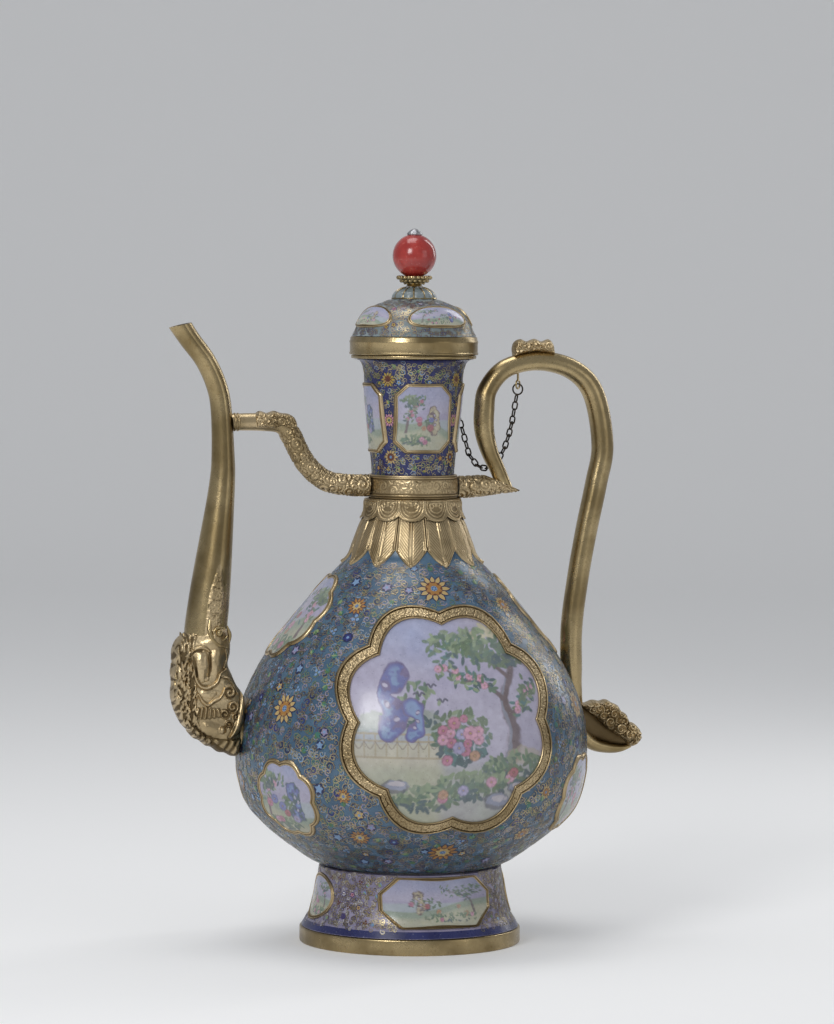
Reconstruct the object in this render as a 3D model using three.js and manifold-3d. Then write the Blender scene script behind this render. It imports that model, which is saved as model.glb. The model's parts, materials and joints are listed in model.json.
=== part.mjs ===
// Lidded wine ewer of gilt copper with cloisonne and painted enamel, in millimetres, +Z up.
// It stands on z = 0 with the vessel's axis on Z. The spout points to -X, the handle to +X, and the main
// medallion faces -Y. An azimuth is measured from -Y towards +X.
import * as THREE from 'three';
import { mergeVertices } from 'three/addons/utils/BufferGeometryUtils.js';
import Module from 'manifold-3d';

const wasm = await Module();
wasm.setup();

// Clearances and common sizes
const DEGREE = Math.PI / 180;
const GAP = 0.3;
const BODY_SIDES = 30;
const NECK_SIDES = 22;
const FINIAL_SIDES = 14;
const VERTEX_TOLERANCE = 1e-4;
const SLIVER = 0.12;

// Vessel: outlines are [radius, height] pairs from the bottom up
const BODY_OUTLINE = [[28, 39.6], [50, 43.5], [65.6, 52.9], [81.7, 66], [91.6, 79.4], [96.3, 104],
  [93.7, 128], [82.1, 154], [62.4, 180.5], [49.2, 196], [40.8, 205], [34.8, 211], [31.8, 218.5],
  [28.2, 228], [25.1, 235], [24.2, 243]];
const INSIDE_LINE = [[28, 39.6], [67, 54], [93, 84.5], [94, 126.5], [74.5, 164.5], [47.5, 197.6], [35, 211]];
const BODY_WALL = 1.6;
const BODY_MOUTH = { radius: 21.4, bottom: 235, beyond: 248 };
const SHOULDER_LINE = 229;
const NECK_OUTLINE = [[22.6, 243.3], [22.6, 259.3], [26.2, 296.5], [27.2, 312], [29.5, 317.8], [34, 318.3],
  [34, 318.9]];
const NECK_BORE = [[21.1, 240], [21.1, 259.3], [24.7, 296.5], [25.6, 312], [26.2, 322]];
const FOOT_OUTLINE = [[59.5, 9], [54.4, 17.6], [52.4, 25], [49.8, 42.4]];
const FOOT_BORE = [[57.5, 5], [52.4, 17.6], [47.6, 46]];
const FOOT_RIM = [[55.5, 0], [60.1, 0], [60.5, 0.5], [60.5, 8.2], [60, 8.7], [55.5, 8.7]];

// Collars and mouth rim
const COLLAR_BAND = [[22.9, 243.7], [24.6, 243.7], [24.6, 256], [22.9, 256]];
const COLLAR_SPACE = { radius: 24.9, bottom: 238, top: 262 };
const COLLAR_TOP = 243.1;
const COLLAR_FLARE = [[27.8, 232], [26.5, 235.5], [26.2, 243.1]];
const LEAF_THICKNESS = 1.6;
const LEAF_TIP = 207;
const LEAF_COUNT = 12;
const LEAF_LINE_BOTTOM = 183;
const LEAF_NOTCH = { top: 215.8, middle: 41, spread: 0.94, overshoot: 1.3, bend: 0.42, bendDepth: 0.3 };
const MOUTH_RIM = [[26.4, 319.2], [34.2, 319.2], [34.2, 321], [26.4, 321]];

// Lid
const LID_RIM = [[32.8, 321.3], [35.2, 321.3], [35.2, 328.6], [34.7, 331], [32.8, 331]];
const LID_FLANGE = [[23.2, 311], [24.6, 311], [24.6, 321.3], [32.5, 321.3], [32.5, 322.5], [23.2, 322.5]];
const DOME_OUTLINE = [[34, 331.3], [31.6, 336.2], [28.6, 342.3], [23, 347.4], [12.5, 351]];
const DOME_WALL = 1.3;
const DOME_HOLLOW_BOTTOM = 325;
const PIN_BORE = { radius: 1.7, bottom: 340, beyond: 400 };
const LID_CROWN = [[1.7, 351.3], [12.5, 351.3], [12.5, 352.6], [10.6, 355.6], [7.6, 357.5], [5.4, 358],
  [1.7, 358]];
const FINIAL_SEAT = [[1.7, 358.3], [5, 358.3], [5, 360.6], [9.8, 362.2], [9.8, 364.2], [1.7, 364.2]];
const BEAD_RADIUS = 12;
const BEAD_HEIGHT = 375;
const BEAD_SIDES = 14;
const BEAD_RINGS = 9;
const FINIAL_CAP = [[0, 385.5], [5, 385.5], [4.4, 388.4], [2.6, 389.6], [0, 390]];
const FINIAL_PIN = { radius: 1.3, bottom: 345, top: 387 };
const FINIAL_NUT = { radius: 4, bottom: 345.8, top: 349.4, sides: 6 };
const LID_EYE = { azimuth: 135, radius: 38.7, height: 324.4 };

// Spout and its strut: paths are [x, z] pairs in the plane y = 0
const SPOUT_PATH = [[-80, 113.5], [-90, 115], [-98, 118], [-108, 130], [-114, 150], [-115.2, 166.5],
  [-113.1, 188.2], [-109.9, 216.4], [-106.2, 251], [-105.8, 268.3], [-107, 292.1], [-109.8, 305],
  [-115.9, 317.9], [-124.8, 329.7], [-134.4, 344]];
const SPOUT_RADII = [8.6, 9, 10.4, 11.5, 11.4, 10.4, 8.9, 7.4, 6.3, 5.8, 5.6, 5.6, 6.2];
const SPOUT_WALL = 1.4;
const SPOUT_LIP = { x: -129.2, z: 336.8, slope: 0.24 };
const HEAD_PATH = [[-114.2, 173], [-114.6, 160], [-113.6, 146], [-109, 131], [-99, 121], [-84, 116]];
const HEAD_RADII = [11.9, 14.6, 17, 18.4, 18, 16.6, 15];
const HEAD_FLATNESS = 0.84;
const HEAD_CREST = [[-121, 171], [-128.5, 160], [-131.5, 148], [-130, 132], [-122, 118], [-110, 107],
  [-104, 103.5], [-104, 122], [-113, 150]];
const HEAD_CREST_WIDTH = 15;
const HEAD_SNOUT = [[-109, 176], [-101.5, 173], [-97.5, 166.5], [-97.8, 158], [-103, 150], [-112, 152]];
const HEAD_SNOUT_WIDTH = 17;
const STRUT_PATH = [[-106, 284.3], [-98.7, 284.5], [-85.4, 284.5], [-74.4, 283.4], [-68.8, 278],
  [-64.9, 270.4], [-60.4, 262.8], [-54.2, 256.2], [-46.4, 251.8], [-35.2, 250.2], [-22, 250]];
const STRUT_RADII = [4.7, 4.8, 5.3, 5.5, 5.6, 6, 6.2];
const STRUT_CLOUD = [[-88.6, 284.5], [-88.2, 288.4], [-84.5, 290.6], [-80.5, 289.4], [-76, 290.4],
  [-72, 288.6], [-67.6, 287.4], [-65.4, 283], [-69, 281], [-75, 284.5]];
const STRUT_CLOUD_WIDTH = 9;

// Handle
const HANDLE_PATH = [[54.8, 242], [51, 251], [47.3, 259.4], [43, 268.8], [40.2, 279.5], [40, 290.5],
  [42, 302.6], [52.4, 314], [71.5, 318], [90.6, 313], [102.6, 299.3], [107.7, 271.7], [104.2, 250.2],
  [98.7, 223.7], [94.1, 197.2], [90.9, 170.7], [91.4, 146.3], [95, 132], [98, 122]];
const HANDLE_RADII = [3.9, 4.4, 5.6, 5.3, 5.2, 5.6, 6, 6.1, 6.1, 6.1, 6, 6, 6, 6, 6];
const MITRE = { x: 60.1, z: 247.1, slope: -0.4225 };
const ARM_PATH = [[20, 249], [30, 249], [38, 249.5], [47.4, 249.9], [54.9, 249.3], [60.4, 248.1]];
const ARM_RADII = [5.4, 5.4, 5.2, 4.6, 3.4, 1.6];
const ARM_SPACE = { left: 20, right: 75, bottom: 225 };
const HANDLE_CLOUD = [[55.6, 319], [55.6, 326], [58, 330.2], [63, 329.4], [68, 330.4], [73, 329.6], [77, 330],
  [78.6, 326.4], [79.6, 321]];
const HANDLE_CLOUD_WIDTH = 9.4;
const TERMINAL_PATH = [[84, 120], [97, 114.5], [108, 110.3], [117, 107.8], [123, 107.4]];
const TERMINAL_RADII = [8.4, 8.6, 7.6, 6, 3.6];
const TERMINAL_HEAD = [[95, 131.5], [104.5, 131.6], [113, 128], [119.5, 124.2], [126, 118.6], [131, 113.4],
  [131.8, 107.6], [127, 104], [118, 106], [100, 116]];
const TERMINAL_HEAD_WIDTH = 16;
const HANDLE_EYE = { x: 59, height: 305.1, stem: 2.9 };

// Enamel panels: width, height, bezel width, and where the middle of each kind stands
const MEDALLION = { width: 122, tall: 125.6, frame: 7, height: 128.7, reach: 52 };
const FRAME_RISE = 2.2;
const PLAQUE_RISE = 1.1;
const BEZEL_RISE = 1.3;
const PANEL_RISE = 0.8;
const BODY_PANEL = { width: 47, height: 47, bezel: 2.6, middle: 84, reach: 16, elevation: -16 };
const SHOULDER_PANEL = { width: 58, height: 60, bezel: 2.6, middle: 180, reach: 16, elevation: 38 };
const NECK_PANEL = { width: 32, height: 38, bezel: 2, middle: 287, reach: 9, elevation: 0 };
const FOOT_WIDE_PANEL = { width: 63, height: 27, bezel: 2, middle: 27.5, reach: 18, elevation: 0 };
const FOOT_ROUND_PANEL = { width: 36, height: 25, bezel: 2, middle: 26.5, reach: 9, elevation: 0 };
const LID_PANEL = { width: 36, height: 15, bezel: 1.6, middle: 342.6, reach: 8, elevation: 37 };
const AZIMUTHS = {
  body_panel: [60, 120, -120, -60],
  shoulder_panel: [90, -90],
  neck_panel: [0, 90, 180, -90],
  foot_wide_panel: [4, -176],
  foot_round_panel: [94, -86],
  lid_panel: [16, 106, -164, -74],
};
const CORNER = { neck: 6, foot: 9 };
const PANEL_FRONT = 14;
const PANEL_LOBES = 8;
const LOBE_DEPTH = 0.1;
const OVAL_SIDES = 10;

// Chain: links of round wire, hung between the lid's eye and the handle's eye in runs of joined links
const LINK = { length: 5.2, width: 3.5, wire: 0.8, steps: 6, sides: 3 };
const PITCH = { joined: 4, free: 3.2 };
const RUNS = [8, 7, 2, 1, 1, 1, 1, 1, 2, 2, 2, 4];
const EYE = { radius: 2.3, wire: 1, steps: 10, sides: 4, stem: 0.9 };
const END_RING = { radius: 3.4, steps: 12 };
const FIRST_LINK_DROP = 1;
const END_RING_DROP = 0.3;
const HALVINGS = 50;
const SAG_LIMITS = { flattest: 60, longest: 1.05 };

// Turns a closed geometry into a solid, with vertices that share a place merged
function solidOf(geometry) {
  geometry.deleteAttribute('normal');
  geometry.deleteAttribute('uv');
  const merged = mergeVertices(geometry, VERTEX_TOLERANCE);
  const index = merged.index.array;
  const corners = [];
  for (let i = 0; i < index.length; i += 3) {
    const [a, b, c] = index.slice(i, i + 3);
    if (a !== b && b !== c && c !== a) {
      corners.push(a, b, c);
    }
  }
  const vertProperties = Float32Array.from(merged.attributes.position.array);
  const build = (order) => new wasm.Manifold(
    new wasm.Mesh({ numProp: 3, vertProperties, triVerts: Uint32Array.from(order) }));
  const solid = build(corners);
  return solid.volume() > 0 ? solid : build(corners.toReversed());
}

function geometryOf(solid) {
  const mesh = solid.getMesh();
  const geometry = new THREE.BufferGeometry();
  geometry.setAttribute('position', new THREE.BufferAttribute(Float32Array.from(mesh.vertProperties), 3));
  geometry.setIndex(new THREE.BufferAttribute(Uint32Array.from(mesh.triVerts), 1));
  geometry.computeVertexNormals();
  return geometry;
}

// Turns a profile of [radius, height] pairs round the Z axis. A profile off the axis is closed into a ring
function lathe(profile, sides) {
  const points = profile.map(([radius, height]) => new THREE.Vector2(radius, height));
  if (profile[0][0] > 0) {
    points.push(points[0].clone());
  }
  const geometry = new THREE.LatheGeometry(points, sides);
  geometry.rotateX(Math.PI / 2);
  return solidOf(geometry);
}

// Moves an outline that runs upwards on the outside of a vessel away from the metal by a distance
function offsetOutline(outline, distance) {
  return outline.map(([radius, height], i) => {
    const [lowRadius, lowHeight] = outline[Math.max(i - 1, 0)];
    const [highRadius, highHeight] = outline[Math.min(i + 1, outline.length - 1)];
    const along = new THREE.Vector2(highRadius - lowRadius, highHeight - lowHeight).normalize();
    return [radius + along.y * distance, height - along.x * distance];
  });
}

// A wall of revolution: its outline and the number of flat sides that it is turned with
const wall = (outline, sides) => ({ outline, sides });

// The full solid inside a wall that has been moved outwards by a distance
function envelope({ outline, sides }, distance) {
  const moved = offsetOutline(outline, distance);
  const bottom = moved[0][1];
  const top = moved[moved.length - 1][1];
  return lathe([[0, bottom], ...moved, [0, top]], sides);
}

// Sweeps a round or flattened section of varying radius along a path of [x, z] pairs
function sweep(path, radii, { sides = 12, steps = 24, grow = 0, flatness = 1 } = {}) {
  const points = path.map(([x, z]) => new THREE.Vector3(x, 0, z));
  const curve = new THREE.CatmullRomCurve3(points, false, 'centripetal');
  const width = new THREE.SplineCurve(radii.map((radius, i) => new THREE.Vector2(i, radius)));
  const positions = [];
  for (let i = 0; i <= steps; i += 1) {
    const centre = curve.getPointAt(i / steps);
    const along = curve.getTangentAt(i / steps);
    const radius = width.getPoint(i / steps).y + grow;
    for (let j = 0; j < sides; j += 1) {
      const turn = (j / sides) * 2 * Math.PI;
      const across = radius * Math.cos(turn);
      const y = radius * flatness * Math.sin(turn);
      positions.push(centre.x + along.z * across, y, centre.z - along.x * across);
    }
  }
  const ends = [curve.getPointAt(0), curve.getPointAt(1)];
  ends.forEach((end) => positions.push(end.x, end.y, end.z));
  const index = [];
  for (let j = 0; j < sides; j += 1) {
    const next = (j + 1) % sides;
    const last = steps * sides;
    for (let i = 0; i < steps; i += 1) {
      const [a, b] = [i * sides + j, i * sides + next];
      index.push(a, b, a + sides, b, b + sides, a + sides);
    }
    index.push(positions.length / 3 - 2, next, j);
    index.push(positions.length / 3 - 1, last + j, last + next);
  }
  const geometry = new THREE.BufferGeometry();
  geometry.setAttribute('position', new THREE.BufferAttribute(Float32Array.from(positions), 3));
  geometry.setIndex(index);
  return solidOf(geometry);
}

// A plate of even thickness across Y, from an outline of [x, z] pairs
function plate(outline, width) {
  const shape = new THREE.Shape(outline.map(([x, z]) => new THREE.Vector2(x, z)));
  const geometry = new THREE.ExtrudeGeometry(shape, { depth: width, bevelEnabled: false });
  geometry.translate(0, 0, -width / 2);
  geometry.rotateX(Math.PI / 2);
  return solidOf(geometry);
}

// Outward direction at an azimuth and elevation, with the directions to its right and above it
function facing(azimuth, elevation) {
  const [a, e] = [azimuth * DEGREE, elevation * DEGREE];
  const right = new THREE.Vector3(Math.cos(a), Math.sin(a), 0);
  const out = new THREE.Vector3(Math.sin(a) * Math.cos(e), -Math.cos(a) * Math.cos(e), Math.sin(e));
  const up = new THREE.Vector3().crossVectors(out, right);
  return { right, up, out };
}

const octofoil = (perLobe) => (width, height) => {
  const lobes = PANEL_LOBES;
  return Array.from({ length: lobes * perLobe }, (_, i) => {
    const turn = (i / (lobes * perLobe)) * 2 * Math.PI;
    const reach = 1 - LOBE_DEPTH * (1 - Math.abs(Math.sin((turn * lobes) / 2)));
    return [(width / 2) * reach * Math.cos(turn), (height / 2) * reach * Math.sin(turn)];
  });
};

function oval(width, height) {
  return Array.from({ length: OVAL_SIDES }, (_, i) => {
    const turn = (i / OVAL_SIDES) * 2 * Math.PI;
    return [(width / 2) * Math.cos(turn), (height / 2) * Math.sin(turn)];
  });
}

const cutCorners = (corner) => (width, height) => {
  const [x, y, c] = [width / 2, height / 2, corner];
  return [[x - c, -y], [x, c - y], [x, y - c], [x - c, y], [c - x, y], [-x, y - c], [-x, c - y], [c - x, -y]];
};

const MEDALLION_SHAPE = octofoil(4);
const PANEL_SHAPE = octofoil(3);

// A prism of an outline that stands out from a place on the vessel
function prism(outline, centre, direction, reach) {
  const shape = new THREE.Shape(outline.map(([x, y]) => new THREE.Vector2(x, y)));
  const geometry = new THREE.ExtrudeGeometry(shape, { depth: reach + PANEL_FRONT, bevelEnabled: false });
  geometry.translate(0, 0, -reach);
  geometry.applyMatrix4(new THREE.Matrix4().makeBasis(direction.right, direction.up, direction.out));
  geometry.translate(centre.x, centre.y, centre.z);
  return solidOf(geometry);
}

function radiusAt(outline, height) {
  const i = outline.findIndex(([, h], k) => k > 0 && outline[k - 1][1] <= height && h >= height);
  const [[lowRadius, low], [highRadius, high]] = [outline[i - 1], outline[i]];
  return lowRadius + ((highRadius - lowRadius) * (height - low)) / (high - low);
}

// A thin piece that lies on a wall, between two distances above it
function layer(base, low, high) {
  return envelope(base, high).subtract(envelope(base, low));
}

// A painted plaque held in its raised bezel, made as one piece that follows the wall under it
function bezelledPanel(kind, shape, base, azimuth) {
  const direction = facing(azimuth, kind.elevation);
  const level = facing(azimuth, 0).out;
  const centre = level.multiplyScalar(radiusAt(base.outline, kind.middle));
  centre.z = kind.middle;
  const whole = prism(shape(kind.width, kind.height), centre, direction, kind.reach);
  const inner = shape(kind.width - 2 * kind.bezel, kind.height - 2 * kind.bezel);
  const opening = prism(inner, centre, direction, kind.reach);
  const recess = opening.subtract(envelope(base, PANEL_RISE));
  return layer(base, GAP, BEZEL_RISE).intersect(whole).subtract(recess).simplify(SLIVER);
}

// Finishes
const finish = (color, roughness, metalness) => ({ color, roughness, metalness });
const GILT = finish(0xb9975b, 0.32, 1);
const CHASED_GILT = finish(0xa8874d, 0.45, 1);
const TURQUOISE = finish(0x3f7d84, 0.28, 0);
const COBALT = finish(0x262c6e, 0.28, 0);
const LILAC = finish(0x9a93b4, 0.3, 0);
const CELADON = finish(0x8e988f, 0.3, 0);
const PAINTED = finish(0xd9d6df, 0.2, 0);
const CORAL = finish(0xb0352f, 0.18, 0);
const SILVER = finish(0xc9c9cc, 0.3, 1);
const DARK_CHAIN = finish(0x23211f, 0.5, 1);

const ewer = new THREE.Group();

function add(name, solid, look) {
  const mesh = new THREE.Mesh(geometryOf(solid), new THREE.MeshStandardMaterial(look));
  mesh.name = name;
  ewer.add(mesh);
}

const cut = (solid, ...others) => others.reduce((left, other) => left.subtract(other), solid);
const join = (solid, ...others) => others.reduce((whole, other) => whole.add(other), solid);

const bodyWall = wall(BODY_OUTLINE, BODY_SIDES);
const neckWall = wall(NECK_OUTLINE, NECK_SIDES);
const footWall = wall(FOOT_OUTLINE, BODY_SIDES);
const domeWall = wall(DOME_OUTLINE, NECK_SIDES);
const clearOfBody = envelope(bodyWall, GAP);
const spoutSolid = (grow) => sweep(SPOUT_PATH, SPOUT_RADII, { grow, steps: 18, sides: 10 });
const handleSolid = (grow) => sweep(HANDLE_PATH, HANDLE_RADII, { grow, steps: 28, sides: 8 });
const strutSolid = (grow) => sweep(STRUT_PATH, STRUT_RADII, { grow, steps: 16, sides: 8 });

function addVessel() {
  const inside = offsetOutline(INSIDE_LINE, -BODY_WALL);
  const { radius, bottom, beyond } = BODY_MOUTH;
  const mouth = [[radius, bottom], [radius, beyond], [0, beyond]];
  const hollow = lathe([[0, inside[0][1]], ...inside, ...mouth], BODY_SIDES);
  const body = cut(envelope(bodyWall, 0), hollow, spoutSolid(-SPOUT_WALL));
  add('body_shell', body.simplify(SLIVER), TURQUOISE);

  const neckBore = lathe([[0, NECK_BORE[0][1]], ...NECK_BORE, [0, NECK_BORE.at(-1)[1]]], NECK_SIDES);
  add('neck_tube', envelope(neckWall, 0).subtract(neckBore), COBALT);
  add('mouth_rim', lathe(MOUTH_RIM, NECK_SIDES), GILT);
  add('foot_rim', lathe(FOOT_RIM, BODY_SIDES), GILT);
  const footBore = lathe([[0, FOOT_BORE[0][1]], ...FOOT_BORE, [0, FOOT_BORE.at(-1)[1]]], BODY_SIDES);
  add('foot_ring', envelope(footWall, 0).subtract(footBore), LILAC);
}

function addCollars() {
  add('collar_band', lathe(COLLAR_BAND, BODY_SIDES), CHASED_GILT);
  const onShoulder = ([, height]) => height > LEAF_LINE_BOTTOM && height < SHOULDER_LINE;
  const outside = offsetOutline(BODY_OUTLINE, LEAF_THICKNESS).filter(onShoulder);
  const under = offsetOutline(BODY_OUTLINE, GAP).filter(([, height]) => height > LEAF_LINE_BOTTOM);
  const inside = under.map(([radius, height]) => [radius, Math.min(height, COLLAR_TOP)]);
  const skirt = lathe([...outside, ...COLLAR_FLARE, ...inside.toReversed()], BODY_SIDES);
  const notches = Array.from({ length: LEAF_COUNT }, (_, i) => leafNotch((360 / LEAF_COUNT) * i));
  const collar = cut(skirt.trimByPlane([0, 0, 1], LEAF_TIP), ...notches);
  add('leaf_collar', collar.simplify(SLIVER), CHASED_GILT);
}

// The pointed space between two leaf tips of the shoulder collar
function leafNotch(azimuth) {
  const { top, middle, spread, overshoot, bend, bendDepth } = LEAF_NOTCH;
  const halfWidth = radiusAt(BODY_OUTLINE, LEAF_TIP) * Math.tan((180 / LEAF_COUNT) * DEGREE) * spread;
  const depth = top - LEAF_TIP;
  const outline = [[-halfWidth * overshoot, -depth * overshoot], [halfWidth * overshoot, -depth * overshoot],
    [halfWidth * bend, -depth * bendDepth], [0, 0], [-halfWidth * bend, -depth * bendDepth]];
  const direction = facing(azimuth, 0);
  return prism(outline, direction.out.clone().multiplyScalar(middle).setZ(top), direction, PANEL_FRONT);
}

function addSpout() {
  const lip = [-SPOUT_LIP.slope, 0, 1];
  const lipHeight = (SPOUT_LIP.z - SPOUT_LIP.slope * SPOUT_LIP.x) / Math.hypot(...lip);
  const below = lip.map((value) => -value);
  const tube = spoutSolid(0).trimByPlane(below, -lipHeight);
  add('spout_tube', cut(tube, spoutSolid(-SPOUT_WALL), clearOfBody).simplify(SLIVER), GILT);

  const head = join(
    sweep(HEAD_PATH, HEAD_RADII, { steps: 9, sides: 12, flatness: HEAD_FLATNESS }),
    plate(HEAD_CREST, HEAD_CREST_WIDTH),
    plate(HEAD_SNOUT, HEAD_SNOUT_WIDTH));
  add('spout_dragon_head', cut(head, spoutSolid(GAP), clearOfBody).simplify(SLIVER), CHASED_GILT);

  const { radius, bottom, top } = COLLAR_SPACE;
  const clearOfCollar = lathe([[0, bottom], [radius, bottom], [radius, top], [0, top]], BODY_SIDES);
  add('spout_strut', cut(strutSolid(0), spoutSolid(GAP), clearOfCollar).simplify(SLIVER), CHASED_GILT);
  add('strut_cloud', plate(STRUT_CLOUD, STRUT_CLOUD_WIDTH).subtract(strutSolid(GAP)), CHASED_GILT);
  return clearOfCollar;
}

function addHandle(clearOfCollar) {
  const steepness = Math.hypot(1, MITRE.slope);
  const mitre = [-MITRE.slope / steepness, 0, 1 / steepness];
  const mitreHeight = (MITRE.z - MITRE.slope * MITRE.x) / steepness;
  const onMitre = (x) => [x, MITRE.z + MITRE.slope * (x - MITRE.x) + GAP * steepness];
  const { left, right, bottom } = ARM_SPACE;
  const armOutline = [[left, bottom], [right, bottom], onMitre(right), onMitre(left)];
  const armSpace = plate(armOutline, 2 * HANDLE_CLOUD_WIDTH);
  add('handle_tube', cut(handleSolid(0), armSpace, clearOfBody).simplify(SLIVER), GILT);
  const arm = sweep(ARM_PATH, ARM_RADII, { steps: 8 });
  const armEnd = mitre.map((value) => -value);
  add('handle_arm', arm.subtract(clearOfCollar).trimByPlane(armEnd, -mitreHeight), CHASED_GILT);
  add('handle_cloud', plate(HANDLE_CLOUD, HANDLE_CLOUD_WIDTH).subtract(handleSolid(GAP)), CHASED_GILT);
  const terminalTube = sweep(TERMINAL_PATH, TERMINAL_RADII, { steps: 8 });
  const terminal = terminalTube.add(plate(TERMINAL_HEAD, TERMINAL_HEAD_WIDTH));
  add('handle_lower_mount', cut(terminal, handleSolid(GAP), clearOfBody).simplify(SLIVER), CHASED_GILT);
}

function addMedallions() {
  const { width, tall, frame: border } = MEDALLION;
  const outlineWithin = (inset) => MEDALLION_SHAPE(width - 2 * inset, tall - 2 * inset);
  [['front', 0], ['back', 180]].forEach(([side, azimuth]) => {
    const direction = facing(azimuth, 0);
    const centre = direction.out.clone().multiplyScalar(radiusAt(BODY_OUTLINE, MEDALLION.height));
    centre.z = MEDALLION.height;
    const whole = prism(outlineWithin(0), centre, direction, MEDALLION.reach);
    const opening = prism(outlineWithin(border), centre, direction, MEDALLION.reach);
    const inset = prism(outlineWithin(border + GAP), centre, direction, MEDALLION.reach);
    const frame = layer(bodyWall, GAP, FRAME_RISE).intersect(whole.subtract(opening));
    const plaque = layer(bodyWall, GAP, PLAQUE_RISE).intersect(inset);
    add(`medallion_frame_${side}`, frame.simplify(SLIVER), CHASED_GILT);
    add(`medallion_plaque_${side}`, plaque.simplify(SLIVER), PAINTED);
  });
}

function addPanels() {
  const kinds = [
    ['body_panel', BODY_PANEL, PANEL_SHAPE, bodyWall],
    ['shoulder_panel', SHOULDER_PANEL, PANEL_SHAPE, bodyWall],
    ['neck_panel', NECK_PANEL, cutCorners(CORNER.neck), neckWall],
    ['foot_wide_panel', FOOT_WIDE_PANEL, cutCorners(CORNER.foot), footWall],
    ['foot_round_panel', FOOT_ROUND_PANEL, oval, footWall],
    ['lid_panel', LID_PANEL, oval, domeWall],
  ];
  kinds.forEach(([name, kind, shape, base]) => AZIMUTHS[name].forEach((azimuth, i) => {
    add(`${name}_${i + 1}`, bezelledPanel(kind, shape, base, azimuth), PAINTED);
  }));
}

function addLid() {
  add('lid_rim', lathe(LID_RIM, NECK_SIDES), GILT);
  add('lid_flange', lathe(LID_FLANGE, NECK_SIDES), GILT);
  const floor = DOME_HOLLOW_BOTTOM;
  const [topRadius, top] = DOME_OUTLINE.at(-1);
  const roof = [[topRadius, top - DOME_WALL], [0, top - DOME_WALL]];
  const under = offsetOutline(DOME_OUTLINE, -DOME_WALL).slice(0, -1);
  under[0][1] = floor;
  const hollow = lathe([[0, floor], ...under, ...roof], NECK_SIDES);
  const pin = PIN_BORE;
  const bore = lathe([[0, pin.bottom], [pin.radius, pin.bottom], [pin.radius, pin.beyond], [0, pin.beyond]],
    FINIAL_SIDES);
  const dome = cut(envelope(domeWall, 0), hollow, bore);
  add('lid_dome', dome.simplify(SLIVER), CELADON);
  add('lid_crown', lathe(LID_CROWN, FINIAL_SIDES), LILAC);

  const ball = (radius) => {
    const geometry = new THREE.SphereGeometry(radius, BEAD_SIDES, BEAD_RINGS);
    geometry.rotateX(Math.PI / 2);
    geometry.translate(0, 0, BEAD_HEIGHT);
    return solidOf(geometry);
  };
  const clearOfBead = ball(BEAD_RADIUS + GAP);
  add('finial_seat', lathe(FINIAL_SEAT, FINIAL_SIDES).subtract(clearOfBead), GILT);
  add('coral_bead', ball(BEAD_RADIUS).subtract(bore), CORAL);
  add('finial_cap', lathe(FINIAL_CAP, FINIAL_SIDES).subtract(clearOfBead), SILVER);
  const rod = FINIAL_PIN;
  const rodOutline = [[0, rod.bottom], [rod.radius, rod.bottom], [rod.radius, rod.top], [0, rod.top]];
  add('finial_pin', lathe(rodOutline, FINIAL_SIDES / 2), GILT);
  const nut = FINIAL_NUT;
  add('finial_nut', lathe([[pin.radius, nut.bottom], [nut.radius, nut.bottom], [nut.radius, nut.top],
    [pin.radius, nut.top]], nut.sides), GILT);
}

// A closed loop of wire round a flat curve of points, as one tube
function wireLoop(centres, wire, sides, normal) {
  const count = centres.length;
  const positions = [];
  centres.forEach((centre, i) => {
    const [before, after] = [centres[(i + count - 1) % count], centres[(i + 1) % count]];
    const along = new THREE.Vector3().subVectors(after, before).normalize();
    const out = new THREE.Vector3().crossVectors(along, normal);
    for (let j = 0; j < sides; j += 1) {
      const turn = (j / sides) * 2 * Math.PI;
      const point = centre.clone().addScaledVector(out, (wire / 2) * Math.cos(turn))
        .addScaledVector(normal, (wire / 2) * Math.sin(turn));
      positions.push(point.x, point.y, point.z);
    }
  });
  const index = [];
  for (let i = 0; i < count; i += 1) {
    for (let j = 0; j < sides; j += 1) {
      const [a, b] = [i * sides + j, i * sides + ((j + 1) % sides)];
      const [c, d] = [((i + 1) % count) * sides + j, ((i + 1) % count) * sides + ((j + 1) % sides)];
      index.push(a, b, c, b, d, c);
    }
  }
  const geometry = new THREE.BufferGeometry();
  geometry.setAttribute('position', new THREE.BufferAttribute(Float32Array.from(positions), 3));
  geometry.setIndex(index);
  return solidOf(geometry);
}

// An eye of wire in the plane of two directions, with a stem towards what holds it
function eye(centre, stemDirection, sideDirection, stemLength = EYE.stem) {
  const normal = new THREE.Vector3().crossVectors(stemDirection, sideDirection).normalize();
  const ring = Array.from({ length: EYE.steps }, (_, i) => {
    const turn = ((i + 0.5) / EYE.steps) * 2 * Math.PI;
    return centre.clone().addScaledVector(stemDirection, EYE.radius * Math.cos(turn))
      .addScaledVector(sideDirection, EYE.radius * Math.sin(turn));
  });
  const stem = new THREE.BoxGeometry(EYE.wire, EYE.wire, stemLength);
  stem.applyMatrix4(new THREE.Matrix4().makeBasis(sideDirection, normal, stemDirection));
  const foot = centre.clone().addScaledVector(stemDirection, EYE.radius + stemLength / 2);
  stem.translate(foot.x, foot.y, foot.z);
  return wireLoop(ring, EYE.wire, EYE.sides, normal).add(solidOf(stem));
}

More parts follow.
